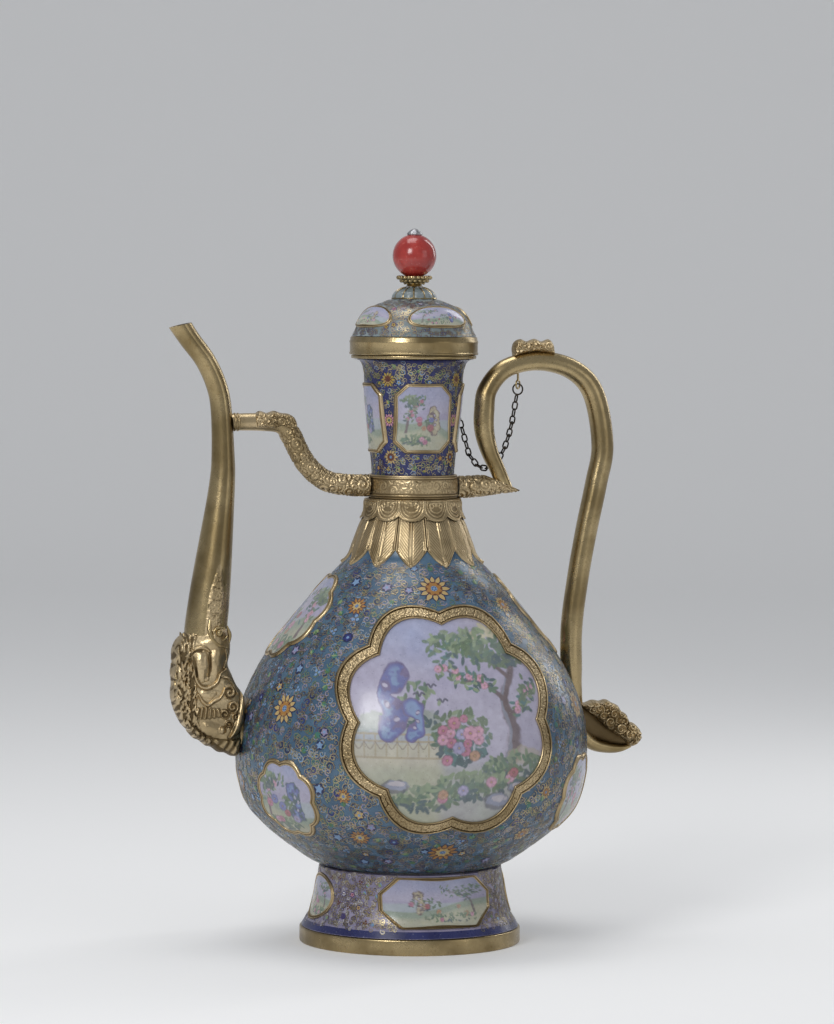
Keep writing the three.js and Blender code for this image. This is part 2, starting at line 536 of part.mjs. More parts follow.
// The height of a hanging line of a given length, by its level distance from the first of its two ends
function catenary(span, rise, length) {
  const slack = Math.sqrt(length * length - rise * rise);
  let [low, high] = [span / SAG_LIMITS.flattest, span];
  for (let i = 0; i < HALVINGS; i += 1) {
    const a = (low + high) / 2;
    [low, high] = 2 * a * Math.sinh(span / (2 * a)) > slack ? [a, high] : [low, a];
  }
  const a = (low + high) / 2;
  const lowest = span / 2 - a * Math.atanh(rise / length);
  return (s) => a * (Math.cosh((s - lowest) / a) - Math.cosh(lowest / a));
}

// The pivots between the runs, hung on the catenary that ends exactly at the far eye
function hang(lengths, span, rise) {
  const reach = lengths.reduce((sum, length) => sum + length, 0);
  const walk = (length) => {
    const height = catenary(span, rise, length);
    const points = [[0, 0]];
    lengths.forEach((chord) => {
      const [s, z] = points.at(-1);
      let [near, far] = [s, s + chord];
      for (let i = 0; i < HALVINGS; i += 1) {
        const middle = (near + far) / 2;
        [near, far] = Math.hypot(middle - s, height(middle) - z) < chord ? [middle, far] : [near, middle];
      }
      points.push([near, height(near)]);
    });
    return points;
  };
  let [short, long] = [reach, reach * SAG_LIMITS.longest];
  for (let i = 0; i < HALVINGS; i += 1) {
    const middle = (short + long) / 2;
    [short, long] = walk(middle).at(-1)[0] > span ? [middle, long] : [short, middle];
  }
  return walk(short);
}

// One long link with pointed ends, along a direction and flat in the plane of that and the side direction
function link(centre, along, side) {
  const bow = (LINK.width - LINK.wire) / 2;
  const straight = (LINK.length - LINK.width) / 2;
  const points = Array.from({ length: LINK.steps }, (_, i) => {
    const turn = (i / LINK.steps) * 2 * Math.PI;
    return centre.clone().addScaledVector(along, Math.sign(Math.cos(turn)) * straight + bow * Math.cos(turn))
      .addScaledVector(side, bow * Math.sin(turn));
  });
  return wireLoop(points, LINK.wire, LINK.sides, new THREE.Vector3().crossVectors(along, side));
}

function addChain() {
  const upwards = new THREE.Vector3(0, 0, 1);
  const lidSide = facing(LID_EYE.azimuth, 0);
  const lidEye = lidSide.out.clone().multiplyScalar(LID_EYE.radius).setZ(LID_EYE.height);
  const handleEye = new THREE.Vector3(HANDLE_EYE.x, 0, HANDLE_EYE.height);
  const start = lidEye.clone().addScaledVector(upwards, -EYE.radius);
  const level = handleEye.clone().sub(lidEye).setZ(0);
  const span = level.length();
  level.normalize();
  const across = new THREE.Vector3().crossVectors(level, upwards);
  add('lid_eye', eye(lidEye, lidSide.out.clone().negate(), upwards), GILT);
  add('handle_eye', eye(handleEye, upwards, across, HANDLE_EYE.stem), GILT);

  const lastToRing = LINK.length / 2 + END_RING.radius + LINK.wire / 2 - (LINK.length - PITCH.joined);
  const lengths = RUNS.map((links, i) => {
    const before = i === 0 ? FIRST_LINK_DROP : PITCH.free / 2;
    const after = i === RUNS.length - 1 ? lastToRing + END_RING_DROP : PITCH.free / 2;
    return before + PITCH.joined * (links - 1) + after;
  });
  const pivots = hang(lengths, span, handleEye.z - lidEye.z);
  const place = ([s, z]) => start.clone().addScaledVector(level, s).addScaledVector(upwards, z);
  let linksBefore = 0;
  RUNS.forEach((links, i) => {
    const [from, to] = [place(pivots[i]), place(pivots[i + 1])];
    const along = to.clone().sub(from).normalize();
    const sides = [new THREE.Vector3().crossVectors(across, along), across];
    const first = i === 0 ? FIRST_LINK_DROP : PITCH.free / 2;
    const centreOf = (k) => from.clone().addScaledVector(along, first + PITCH.joined * k);
    let run = link(centreOf(0), along, sides[linksBefore % 2]);
    for (let k = 1; k < links; k += 1) {
      run = run.add(link(centreOf(k), along, sides[(linksBefore + k) % 2]));
    }
    if (i === RUNS.length - 1) {
      const centre = to.clone().addScaledVector(along, -END_RING_DROP);
      const ring = Array.from({ length: END_RING.steps }, (_, k) => {
        const turn = (k / END_RING.steps) * 2 * Math.PI;
        return centre.clone().addScaledVector(along, END_RING.radius * Math.cos(turn))
          .addScaledVector(sides[0], END_RING.radius * Math.sin(turn));
      });
      run = run.add(wireLoop(ring, LINK.wire, LINK.sides, across));
    }
    add(`chain_run_${String(i + 1).padStart(2, '0')}`, run, DARK_CHAIN);
    linksBefore += links;
  });
}

addVessel();
addCollars();
const collarSpace = addSpout();
addHandle(collarSpace);
addMedallions();
addPanels();
addLid();
addChain();

export default ewer;
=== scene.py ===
"""A lidded wine ewer of gilt copper with cloisonne and painted enamel, dressed on its packed frame.

Lengths in this file are in millimetres until a piece is finished. The vessel's axis is on Z, the spout points
to -X and the main medallion faces -Y. An azimuth is measured from -Y towards +X, in degrees.
"""

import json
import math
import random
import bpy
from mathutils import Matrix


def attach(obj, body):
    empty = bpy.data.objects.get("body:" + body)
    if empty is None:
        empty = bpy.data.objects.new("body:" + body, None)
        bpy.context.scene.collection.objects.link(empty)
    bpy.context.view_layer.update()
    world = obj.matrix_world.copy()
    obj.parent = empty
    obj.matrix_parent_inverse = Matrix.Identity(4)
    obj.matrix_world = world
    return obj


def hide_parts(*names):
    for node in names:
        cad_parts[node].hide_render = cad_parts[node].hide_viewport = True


bl_info = {
    "name": "Cloisonne ewer",
    "version": (1, 0, 0),
    "blender": (4, 5, 0),
    "location": "3D View > Sidebar > Ewer",
    "description": "Builds the pieces of a lidded cloisonne wine ewer on its packed frame",
    "category": "Add Mesh",
}

import bmesh
import bpy
import numpy as np
from mathutils import Matrix, Vector

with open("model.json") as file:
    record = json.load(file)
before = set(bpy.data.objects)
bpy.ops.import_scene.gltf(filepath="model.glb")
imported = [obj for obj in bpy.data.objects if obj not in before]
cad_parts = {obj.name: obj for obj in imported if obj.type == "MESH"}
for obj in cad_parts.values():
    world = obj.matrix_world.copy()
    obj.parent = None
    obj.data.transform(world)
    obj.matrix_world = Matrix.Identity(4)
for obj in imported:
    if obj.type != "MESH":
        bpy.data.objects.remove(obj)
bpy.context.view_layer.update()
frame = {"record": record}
BODY_OF = {node: body for body, nodes in frame["record"]["behaviour"]["bodies"].items() for node in nodes}
MM = 0.001
TURN = 2 * math.pi

# Outlines of the turned walls, as radius and height, from the bottom up
BODY = [(28, 39.6), (50, 43.5), (65.6, 52.9), (81.7, 66), (91.6, 79.4), (96.3, 104), (93.7, 128),
        (82.1, 154), (62.4, 180.5), (49.2, 196), (40.8, 205), (34.8, 211), (31.8, 218.5), (28.2, 228),
        (25.1, 235), (24.2, 243)]
NECK = [(22.6, 243.3), (22.6, 259.3), (26.2, 296.5), (27.2, 312), (29.5, 317.8), (34, 318.9)]
FOOT = [(59.5, 9), (57.2, 13), (54.4, 17.6), (52.4, 25), (51, 33), (49.8, 42.4)]
DOME = [(34, 331.3), (32.4, 334), (30.8, 338), (28.4, 342.3), (23.6, 346.8), (14.7, 350.6), (12, 351.4)]

# Panels: width, height, rim, height of the middle, reach into the wall, upward tilt, azimuths
PANELS = {
    "medallion": (122, 125.6, 7, 128.7, 52, 0, (0, 180)),
    "body_panel": (47, 47, 2.6, 84, 16, -16, (60, 120, -120, -60)),
    "shoulder_panel": (58, 60, 2.6, 180, 16, 38, (90, -90)),
    "neck_panel": (32, 38, 2, 287, 9, 0, (0, 90, 180, -90)),
    "foot_wide_panel": (63, 27, 2, 27.5, 18, 0, (4, -176)),
    "foot_round_panel": (36, 25, 2, 26.5, 9, 0, (94, -86)),
    "lid_panel": (36, 15, 1.6, 342.6, 8, 37, (16, 106, -164, -74)),
}

# Paths in the plane y = 0, as x and z
SPOUT = [(-80, 113.5), (-90, 115), (-98, 118), (-108, 130), (-114, 150), (-115.2, 166.5), (-113.1, 188.2),
         (-109.9, 216.4), (-106.2, 251), (-105.8, 268.3), (-107, 292.1), (-109.8, 305), (-115.9, 317.9),
         (-124.8, 329.7), (-134.4, 344)]
SPOUT_RADII = [8.6, 9, 10.4, 11.5, 11.4, 10.4, 8.9, 7.4, 6.3, 5.8, 5.6, 5.6, 6.2]
HANDLE = [(54.8, 242), (51, 251), (47.3, 259.4), (43, 268.8), (40.2, 279.5), (40, 290.5), (42, 302.6),
          (52.4, 314), (71.5, 318), (90.6, 313), (102.6, 299.3), (107.7, 271.7), (104.2, 250.2),
          (98.7, 223.7), (94.1, 197.2), (90.9, 170.7), (91.2, 146.3), (93.6, 134), (97.6, 122)]
STRUT = [(-101, 284.3), (-98.7, 284.5), (-85.4, 284.5), (-74.4, 283.4), (-68.8, 278), (-64.9, 270.4),
         (-60.4, 262.8), (-54.2, 256.2), (-46.4, 251.8), (-35.2, 250.2), (-24.9, 250)]
ARM = [(24.9, 249), (30, 249), (38, 249.5), (47.4, 249.9), (54.9, 249.3), (60.4, 248.1)]


def linear(colour):
    """The red, green and blue of a written colour as a shader takes them. Any other colour stays as it is."""
    if not isinstance(colour, str):
        return tuple(colour)
    values = [int(colour[i:i + 2], 16) / 255 for i in (1, 3, 5)]
    return tuple(v / 12.92 if v <= 0.04045 else ((v + 0.055) / 1.055) ** 2.4 for v in values)


GOLD = linear("#c6b483")
PALETTE = {name: linear(colour) for name, colour in {
    "deep": "#1b2249", "cobalt": "#28306e", "sky": "#7391b4", "ochre": "#9c7038",
    "tan": "#b39a66", "rust": "#5e3322", "yellow": "#a58e40", "leaf": "#4c6e46", "pale_leaf": "#7d9166",
    "red": "#8e3430", "white": "#bcbcc2", "pink": "#b78294", "rose": "#a0586e", "lilac": "#8a85a5",
    "mauve": "#5d5178", "moss": "#56703f", "pine": "#2f5148", "stone": "#7f8796", "rock": "#515c96",
    "cream": "#bdb794", "mist": "#aaa6b8", "water": "#a3b3ae", "bark": "#5a483c", "violet": "#433a68",
    "blue_wash": "#7b8fb6", "ivory": "#b7b1b2", "sand": "#a59b78", "teal_leaf": "#3f6f66", "ink": "#30333f",
}.items()}


class Value:
    """A socket of a material, with arithmetic that adds Math nodes."""

    def __init__(self, recipe, socket):
        self.recipe = recipe
        self.socket = socket

    def maths(self, operation, other, swapped=False):
        pair = (other, self) if swapped else (self, other)
        return self.recipe.node("ShaderNodeMath", {"operation": operation}, *pair)

    def __add__(self, other):
        return self.maths("ADD", other)

    def __sub__(self, other):
        return self.maths("SUBTRACT", other)

    def __mul__(self, other):
        return self.maths("MULTIPLY", other)

    def __rsub__(self, other):
        return self.maths("SUBTRACT", other, swapped=True)

    __radd__ = __add__
    __rmul__ = __mul__


class Recipe:
    """One finish of the ewer, as a node tree that ends in its Principled shader."""

    def __init__(self, name, roughness, metallic=0.0, coat=0.0):
        self.material = bpy.data.materials.new(name)
        self.material.use_nodes = True
        self.tree = self.material.node_tree
        self.skin = self.tree.nodes["Principled BSDF"].inputs
        self.skin["Roughness"].default_value = roughness
        self.skin["Metallic"].default_value = metallic
        self.skin["Coat Weight"].default_value = coat

    def feed(self, socket, value):
        if isinstance(value, Value):
            self.tree.links.new(value.socket, socket)
        elif isinstance(value, tuple) and len(value) == 3 and socket.type == "RGBA":
            socket.default_value = (*value, 1)
        else:
            socket.default_value = value

    def node(self, kind, settings=None, *values, out=0, **named):
        made = self.tree.nodes.new(kind)
        for key, value in (settings or {}).items():
            setattr(made, key, value)
        for i, value in enumerate(values):
            self.feed(made.inputs[i], value)
        for key, value in named.items():
            self.feed(made.inputs[key], value)
        return Value(self, made.outputs[out])

    def noise(self, size, detail=2.0, rough=0.5):
        """Cloudy variation whose patches are about this many millimetres across."""
        place = self.node("ShaderNodeTexCoord", out=3)
        return self.node("ShaderNodeTexNoise", Vector=place, Scale=1000 / size, Detail=detail,
                         Roughness=rough)

    def band(self, value, low, high):
        """A smooth step from 0 at low to 1 at high."""
        step = self.tree.nodes.new("ShaderNodeMapRange")
        step.interpolation_type = "SMOOTHSTEP"
        self.feed(step.inputs["Value"], value)
        step.inputs["From Min"].default_value = low
        step.inputs["From Max"].default_value = high
        return Value(self, step.outputs[0])

    def blend(self, factor, low, high, mode="MIX"):
        made = self.tree.nodes.new("ShaderNodeMix")
        made.data_type = "RGBA"
        made.blend_type = mode
        for i, value in ((0, factor), (6, low), (7, high)):
            self.feed(made.inputs[i], value)
        return Value(self, made.outputs[2])

    def attribute(self, name, out):
        return self.node("ShaderNodeAttribute", {"attribute_name": name}, out=out)

    def bump(self, height, distance, strength=1.0):
        return self.node("ShaderNodeBump", Height=height, Distance=distance * MM, Strength=strength)

    def done(self, colour=None, roughness=None, normal=None):
        for key, value in (("Base Color", colour), ("Roughness", roughness), ("Normal", normal)):
            if value is not None:
                self.feed(self.skin[key], value)
        return self.material


def gilt_finish(name, bright, dull, roughness, chased):
    """Fire gilding on copper: warm, a little uneven, and darker where chasing holds old wax and dirt."""
    r = Recipe(name, roughness, metallic=1.0)
    wear = r.band(r.noise(26, 4), 0.38, 0.66)
    colour = r.blend(wear, linear(bright), linear(dull))
    specks = r.band(r.noise(1.6, 3), 0.58, 0.74)
    colour = r.blend(specks * 0.35, colour, linear("#6f5527"))
    rough = roughness + r.noise(3.2, 3) * 0.16 + wear * 0.05
    height = r.noise(0.9, 3) + r.noise(7, 2) * 0.8
    if chased:
        # painted shade: the depth layer darkens the recesses of the chasing towards dark brown
        depth = r.attribute("depth", 2)
        colour = r.blend(r.band(depth, 0.25, 0.95) * 0.85, colour, linear("#4b3b22"))
        rough = rough + depth * 0.2
    return r.done(colour, rough, r.bump(height, 0.05 if not chased else 0.09))


def enamel_finish(name, main, other, gloss=0.2, attribute=False):
    """Fired enamel: glassy, clouded in colour, with faint waves and a few burst bubbles."""
    r = Recipe(name, gloss)
    cloud = r.band(r.noise(14, 4), 0.35, 0.68)
    if attribute:
        tint = r.attribute("tint", 0)
        colour = r.blend(cloud * 0.16, tint, r.blend(1.0, tint, linear("#b9b6c6"), "MULTIPLY"))
    else:
        colour = r.blend(cloud, linear(main), linear(other))
    grain = r.noise(1.1, 3)
    colour = r.blend(r.band(grain, 0.6, 0.78) * 0.3, colour, linear("#1d2733"))
    colour = r.blend(r.band(grain, 0.36, 0.2) * 0.25, colour, linear("#e6e9ec"))
    pits = r.band(r.noise(0.7, 1), 0.7, 0.76)
    height = r.noise(5, 2) - pits * 0.5
    return r.done(colour, gloss + r.noise(4, 3) * 0.16 + pits * 0.3, r.bump(height, 0.06))


def stone_finish(main):
    r = Recipe("coral", 0.2, coat=0.2)
    cloud = r.band(r.noise(9, 4), 0.35, 0.7)
    colour = r.blend(cloud, linear(main), linear("#a83a33"))
    colour = r.blend(r.band(r.noise(2.2, 2), 0.62, 0.72) * 0.5, colour, linear("#bb665c"))
    return r.done(colour, 0.14 + r.noise(3, 2) * 0.12, r.bump(r.noise(4, 2), 0.04))


def plain_metal(name, main, other, roughness):
    r = Recipe(name, roughness, metallic=1.0)
    colour = r.blend(r.band(r.noise(2.4, 3), 0.4, 0.65), linear(main), linear(other))
    return r.done(colour, roughness + r.noise(1.3, 2) * 0.2, r.bump(r.noise(0.8, 2), 0.04))


# Filled by make_finishes with one material for each finish
FINISHES = {}


def make_finishes():
    sizes = bpy.context.scene.ewer
    FINISHES.update({
        "gilt": gilt_finish("gilt", sizes.gilt_colour, "#847351", 0.19, False),
        "chased": gilt_finish("chased_gilt", "#c0ac88", "#978564", 0.27, True),
        "wire": gilt_finish("cloison_wire", "#b3a682", "#918462", 0.3, False),
        "turquoise": enamel_finish("turquoise_enamel", sizes.body_colour, "#4b667c"),
        "cobalt": enamel_finish("cobalt_enamel", sizes.neck_colour, "#292f62"),
        "lilac": enamel_finish("lilac_enamel", "#7a758e", "#908aa2"),
        "celadon": enamel_finish("celadon_enamel", "#6f7a7b", "#7d878a"),
        "cells": enamel_finish("cell_enamel", "", "", 0.22, attribute=True),
        "painted": enamel_finish("painted_enamel", "", "", 0.13, attribute=True),
        "coral": stone_finish(sizes.bead_colour),
        "silver": plain_metal("silver", "#b4b4b6", "#86868c", 0.3),
        "chain": plain_metal("dark_chain", "#2a2622", "#4a4136", 0.36),
    })


def curve(points, count):
    """Evenly spaced points on a smooth curve through the given ones."""
    p = np.asarray(points, float)
    ends = np.vstack([2 * p[0] - p[1], p, 2 * p[-1] - p[-2]])
    t = np.linspace(0, 1, 24, endpoint=False)[:, None]
    parts = [0.5 * (2 * b + (c - a) * t + (2 * a - 5 * b + 4 * c - d) * t ** 2
                    + (3 * b - a - 3 * c + d) * t ** 3)
             for a, b, c, d in zip(ends, ends[1:], ends[2:], ends[3:])]
    line = np.vstack(parts + [p[-1:]])
    gone = np.r_[0, np.cumsum(np.linalg.norm(np.diff(line, axis=0), axis=1))]
    even = np.linspace(0, gone[-1], count)
    return np.column_stack([np.interp(even, gone, line[:, k]) for k in range(p.shape[1])])


def swung(u, v, turn):
    """The same offsets along axes that are turned by an angle."""
    c, s = math.cos(turn), math.sin(turn)
    return u * c + v * s, v * c - u * s


def round_axis(azimuth, radius, height):
    """Points at an azimuth in radians, a distance from the vessel's axis and a height."""
    return radius * np.sin(azimuth), -radius * np.cos(azimuth), height


def smooth(x, low, high):
    """A smooth step from 0 at low to 1 at high."""
    t = np.clip((x - low) / (high - low), 0, 1)
    return t * t * (3 - 2 * t)


def ridge(x, width):
    """A rounded ridge along x = 0."""
    return np.clip(1 - (x / width) ** 2, 0, None)


def away_from(x, y, points, steps=40):
    """How far places lie from a smooth line through a few points, and how far along it, from 0 to 1."""
    line = curve(points, steps) if len(points) > 2 else np.array(points, float)
    best, share = np.full(x.shape, 1e9), np.zeros(x.shape)
    for i, (p, q) in enumerate(zip(line, line[1:])):
        d = q - p
        t = np.clip(((x - p[0]) * d[0] + (y - p[1]) * d[1]) / max(d @ d, 1e-12), 0, 1)
        gap = np.hypot(x - p[0] - t * d[0], y - p[1] - t * d[1])
        nearer = gap < best
        best = np.where(nearer, gap, best)
        share = np.where(nearer, (i + t) / (len(line) - 1), share)
    return best, share


def grain(x, y, size, seed):
    """Cloudy values from 0 to 1 whose patches are about this size across."""
    table = np.random.RandomState(seed).rand(64, 64)
    total = 0
    for octave, weight in ((1, 0.6), (2.1, 0.27), (4.3, 0.13)):
        u, v = x * octave / size + 17.3 * octave, y * octave / size + 9.1 * octave
        i, j = np.floor(u).astype(int), np.floor(v).astype(int)
        a, b = u - i, v - j
        a, b = a * a * (3 - 2 * a), b * b * (3 - 2 * b)
        low = table[i % 64, j % 64] * (1 - a) + table[(i + 1) % 64, j % 64] * a
        high = table[i % 64, (j + 1) % 64] * (1 - a) + table[(i + 1) % 64, (j + 1) % 64] * a
        total = total + weight * (low * (1 - b) + high * b)
    return total


class Wall:
    """A turned wall, measured by the way up its outside."""

    def __init__(self, outline, count=300):
        line = curve(outline, count)
        along = np.gradient(line, axis=0)
        along /= np.linalg.norm(along, axis=1)[:, None]
        self.r, self.z = line.T
        self.nr, self.nz = along[:, 1], -along[:, 0]
        self.s = np.r_[0, np.cumsum(np.linalg.norm(np.diff(line, axis=0), axis=1))]

    def way(self, height):
        return np.interp(height, self.z, self.s)

    def radius(self, height):
        return np.interp(height, self.z, self.r)

    def place(self, azimuth, way, lift):
        """Points at an azimuth in radians, a way up and a height over the wall."""
        r = np.interp(way, self.s, self.r) + lift * np.interp(way, self.s, self.nr)
        z = np.interp(way, self.s, self.z) + lift * np.interp(way, self.s, self.nz)
        return round_axis(azimuth, r, z)

    def spot(self, azimuth, way):
        """One place on the wall itself, as a list of plain numbers."""
        return [float(c) for c in self.place(azimuth, way, 0)]


WALLS = {"body": Wall(BODY), "neck": Wall(NECK), "foot": Wall(FOOT), "dome": Wall(DOME)}


def octofoil(width, height, turn):
    """The reach of an outline of eight lobes. Panel.edge stretches it to the panel's height."""
    return (1 - 0.1 * (1 - np.abs(np.sin(4 * turn)))) * width / 2 + 0 * height


def cut_corners(corner):
    """The reach of an oblong whose corners are cut off."""
    def reach(width, height, turn):
        c, s = np.abs(np.cos(turn)), np.abs(np.sin(turn))
        sides = np.maximum(2 * c / width, 2 * s / height)
        corners = (c + s) / (width / 2 + height / 2 - corner)
        return 1 / np.maximum(sides, corners)
    return reach


def oval(width, height, turn):
    """The reach of an ellipse."""
    return 1 / np.sqrt((2 * np.cos(turn) / width) ** 2 + (2 * np.sin(turn) / height) ** 2)


SHAPES = {"medallion": octofoil, "body_panel": octofoil, "shoulder_panel": octofoil,
          "neck_panel": cut_corners(6), "foot_wide_panel": cut_corners(9), "foot_round_panel": oval,
          "lid_panel": oval}
ON_WALL = {"medallion": "body", "body_panel": "body", "shoulder_panel": "body", "neck_panel": "neck",
           "foot_wide_panel": "foot", "foot_round_panel": "foot", "lid_panel": "dome"}


class Panel:
    """A place on a wall where a shape is pressed through from straight in front."""

    def __init__(self, kind, azimuth):
        self.width, self.height, self.rim, middle, self.reach, tilt, _ = PANELS[kind]
        self.shape = SHAPES[kind]
        self.wall = WALLS[ON_WALL[kind]]
        a, e = math.radians(azimuth), math.radians(tilt)
        self.right = np.array([math.cos(a), math.sin(a), 0])
        self.out = np.array([math.sin(a) * math.cos(e), -math.cos(a) * math.cos(e), math.sin(e)])
        self.up = np.cross(self.out, self.right)
        r = self.wall.radius(middle)
        self.centre = np.array([r * math.sin(a), -r * math.cos(a), middle])

    def edge(self, turn):
        """How far the outline lies from the middle. Tall octofoils keep their own height."""
        reach = self.shape(self.width, self.height, turn)
        if self.shape is octofoil:
            reach = reach * np.hypot(np.cos(turn), np.sin(turn) * self.height / self.width)
        return reach

    def place(self, a, b, lift):
        """Points on the wall behind a and b, raised over it."""
        a, b, lift = np.broadcast_arrays(np.asarray(a, float), np.asarray(b, float), np.asarray(lift, float))
        flat = self.centre + a[..., None] * self.right + b[..., None] * self.up
        low, high = np.full(a.shape, -self.reach * 1.2), np.full(a.shape, 9.0)
        for _ in range(36):
            t = (low + high) / 2
            p = flat + t[..., None] * self.out
            outside = np.hypot(p[..., 0], p[..., 1]) > self.wall.radius(p[..., 2])
            low, high = np.where(outside, low, t), np.where(outside, t, high)
        p = flat + low[..., None] * self.out
        r = np.hypot(p[..., 0], p[..., 1])
        nr = np.interp(p[..., 2], self.wall.z, self.wall.nr) / r
        nz = np.interp(p[..., 2], self.wall.z, self.wall.nz)
        facing = (p[..., 0] * self.out[0] + p[..., 1] * self.out[1]) * nr + nz * self.out[2]
        p = p + (lift / np.maximum(facing, 0.6))[..., None] * self.out
        return p[..., 0], p[..., 1], p[..., 2]

    def covers(self, point, margin):
        """Whether a point of the wall lies under the panel."""
        away = np.asarray(point) - self.centre
        if away @ self.out < -self.reach * 1.1:
            return False
        a, b = away @ self.right, away @ self.up
        return math.hypot(a, b) < float(self.edge(math.atan2(b, a))) + margin


def panels_on(wall):
    return [Panel(kind, azimuth) for kind in PANELS if ON_WALL[kind] == wall for azimuth in PANELS[kind][6]]


def piece(name, bm, body, finishes, nodes=(), crease=42):
    """A finished piece in metres that rides on a body and stands for its nodes."""
    bmesh.ops.scale(bm, vec=(MM, MM, MM), verts=bm.verts)
    mesh = bpy.data.meshes.new(name)
    bm.to_mesh(mesh)
    bm.free()
    for finish in finishes:
        mesh.materials.append(FINISHES[finish])
    mesh.polygons.foreach_set("use_smooth", [True] * len(mesh.polygons))
    mesh.set_sharp_from_angle(angle=math.radians(crease))
    made = bpy.data.objects.new(name, mesh)
    bpy.context.collection.objects.link(made)
    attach(made, body)
    if nodes:
        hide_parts(*nodes)
    return made


def woven(bm, columns, rows, place, layer=None):
    """Adds a sheet of faces shaped by a function of two numbers from 0 to 1, welded where it meets itself.

    What the function returns past x, y and z goes to the layer: one array to depth, or three to tint.
    """
    if layer == "depth":
        store = bm.verts.layers.float.get("depth") or bm.verts.layers.float.new("depth")
    elif layer == "tint":
        store = bm.verts.layers.float_color.get("tint") or bm.verts.layers.float_color.new("tint")
    made = bmesh.ops.create_grid(bm, x_segments=columns, y_segments=rows, size=0.5)["verts"]
    at = np.array([v.co[:2] for v in made]) + 0.5
    spots = np.column_stack([np.broadcast_to(a, len(at)) for a in place(at[:, 0], at[:, 1])])
    for vert, spot in zip(made, spots.tolist()):
        vert.co = spot[:3]
        if layer == "depth":
            vert[store] = spot[3]
        elif layer == "tint":
            vert[store] = (*spot[3:6], 1)
    bmesh.ops.remove_doubles(bm, verts=made, dist=0.002)
    return bm


def close(bm):
    """Fills open ends and turns every face outwards."""
    bmesh.ops.holes_fill(bm, edges=[e for e in bm.edges if e.is_boundary], sides=0)
    bmesh.ops.recalc_face_normals(bm, faces=bm.faces)
    return bm


def turned(profile, steps=160):
    """A ring or solid turned round the axis from its profile of radius and height."""
    bm = bmesh.new()
    verts = [bm.verts.new((r, 0, z)) for r, z in profile]
    pairs = list(zip(verts, verts[1:]))
    if profile[0][0] > 0.01:
        pairs.append((verts[-1], verts[0]))
    edges = [bm.edges.new(pair) for pair in pairs]
    bmesh.ops.spin(bm, geom=verts + edges, cent=(0, 0, 0), axis=(0, 0, 1), angle=TURN, steps=steps,
                   use_merge=True)
    bmesh.ops.remove_doubles(bm, verts=bm.verts, dist=0.001)
    bmesh.ops.recalc_face_normals(bm, faces=bm.faces)
    return bm


def bevelled_ring(inner, outer, low, high, bevel):
    """A turned ring of square section with its two outer corners rounded."""
    corner = [(1 - math.cos(t), 1 - math.sin(t)) for t in (0, math.pi / 6, math.pi / 3, math.pi / 2)]
    top = [(outer - bevel * x, high - bevel * y) for x, y in corner]
    bottom = [(outer - bevel * x, low + bevel * y) for x, y in reversed(corner)]
    return turned([(inner, low), *bottom, *top, (inner, high)])


def tube(bm, path, radii, sides=24, steps=60, flat=1.0, plane=(0, 1, 0), relief=None, layer=None):
    """Adds an open tube along a smooth path. Plane is a normal of the path's plane.

    The relief takes the way round and the distance along, and gives height and depth.
    """
    plane = np.asarray(plane, float)
    line = curve(path, steps * 2 + 1)
    along = np.gradient(line, axis=0)
    along /= np.linalg.norm(along, axis=1)[:, None]
    length = np.linalg.norm(np.diff(line, axis=0), axis=1).sum()
    even = np.linspace(0, 1, len(line))
    stops = list(enumerate(radii))
    width = curve(stops, 200) if len(radii) > 2 else np.array(stops, float)
    share = width[:, 0] / width[-1, 0]

    def place(u, v):
        middle = np.column_stack([np.interp(v, even, line[:, k]) for k in range(3)])
        ahead = np.column_stack([np.interp(v, even, along[:, k]) for k in range(3)])
        across = np.cross(plane, ahead)
        radius = np.interp(v, share, width[:, 1])
        extra = relief(u, v * length) if relief else (0 * u, 0 * u)
        r = radius + extra[0]
        forward, sideways = r * np.cos(TURN * u), r * flat * np.sin(TURN * u)
        spot = middle + across * forward[:, None] + plane * sideways[:, None]
        return (*spot.T, extra[1]) if layer else tuple(spot.T)

    return woven(bm, sides, steps, place, layer=layer)


def flat_path(points):
    return [(x, 0, z) for x, z in points]


def scrollwork(x, y, pitch):
    """Heights from 0 to 1 of a chased running scroll: spirals that turn over from one to the next."""
    k = np.floor(x / pitch + 0.5)
    u, v = x - k * pitch, y * np.where(k % 2 == 0, 1, -1)
    rho, phi = np.hypot(u, v), np.arctan2(v, u)
    arms = 0.5 + 0.5 * np.cos(phi - TURN * rho / (0.36 * pitch))
    leaves = 0.5 + 0.5 * np.cos(TURN * (u * 1.3 + v * 1.7) / (0.5 * pitch) + 2 * phi)
    mix = smooth(rho, 0.34 * pitch, 0.52 * pitch)
    return arms * (1 - mix) + leaves * mix


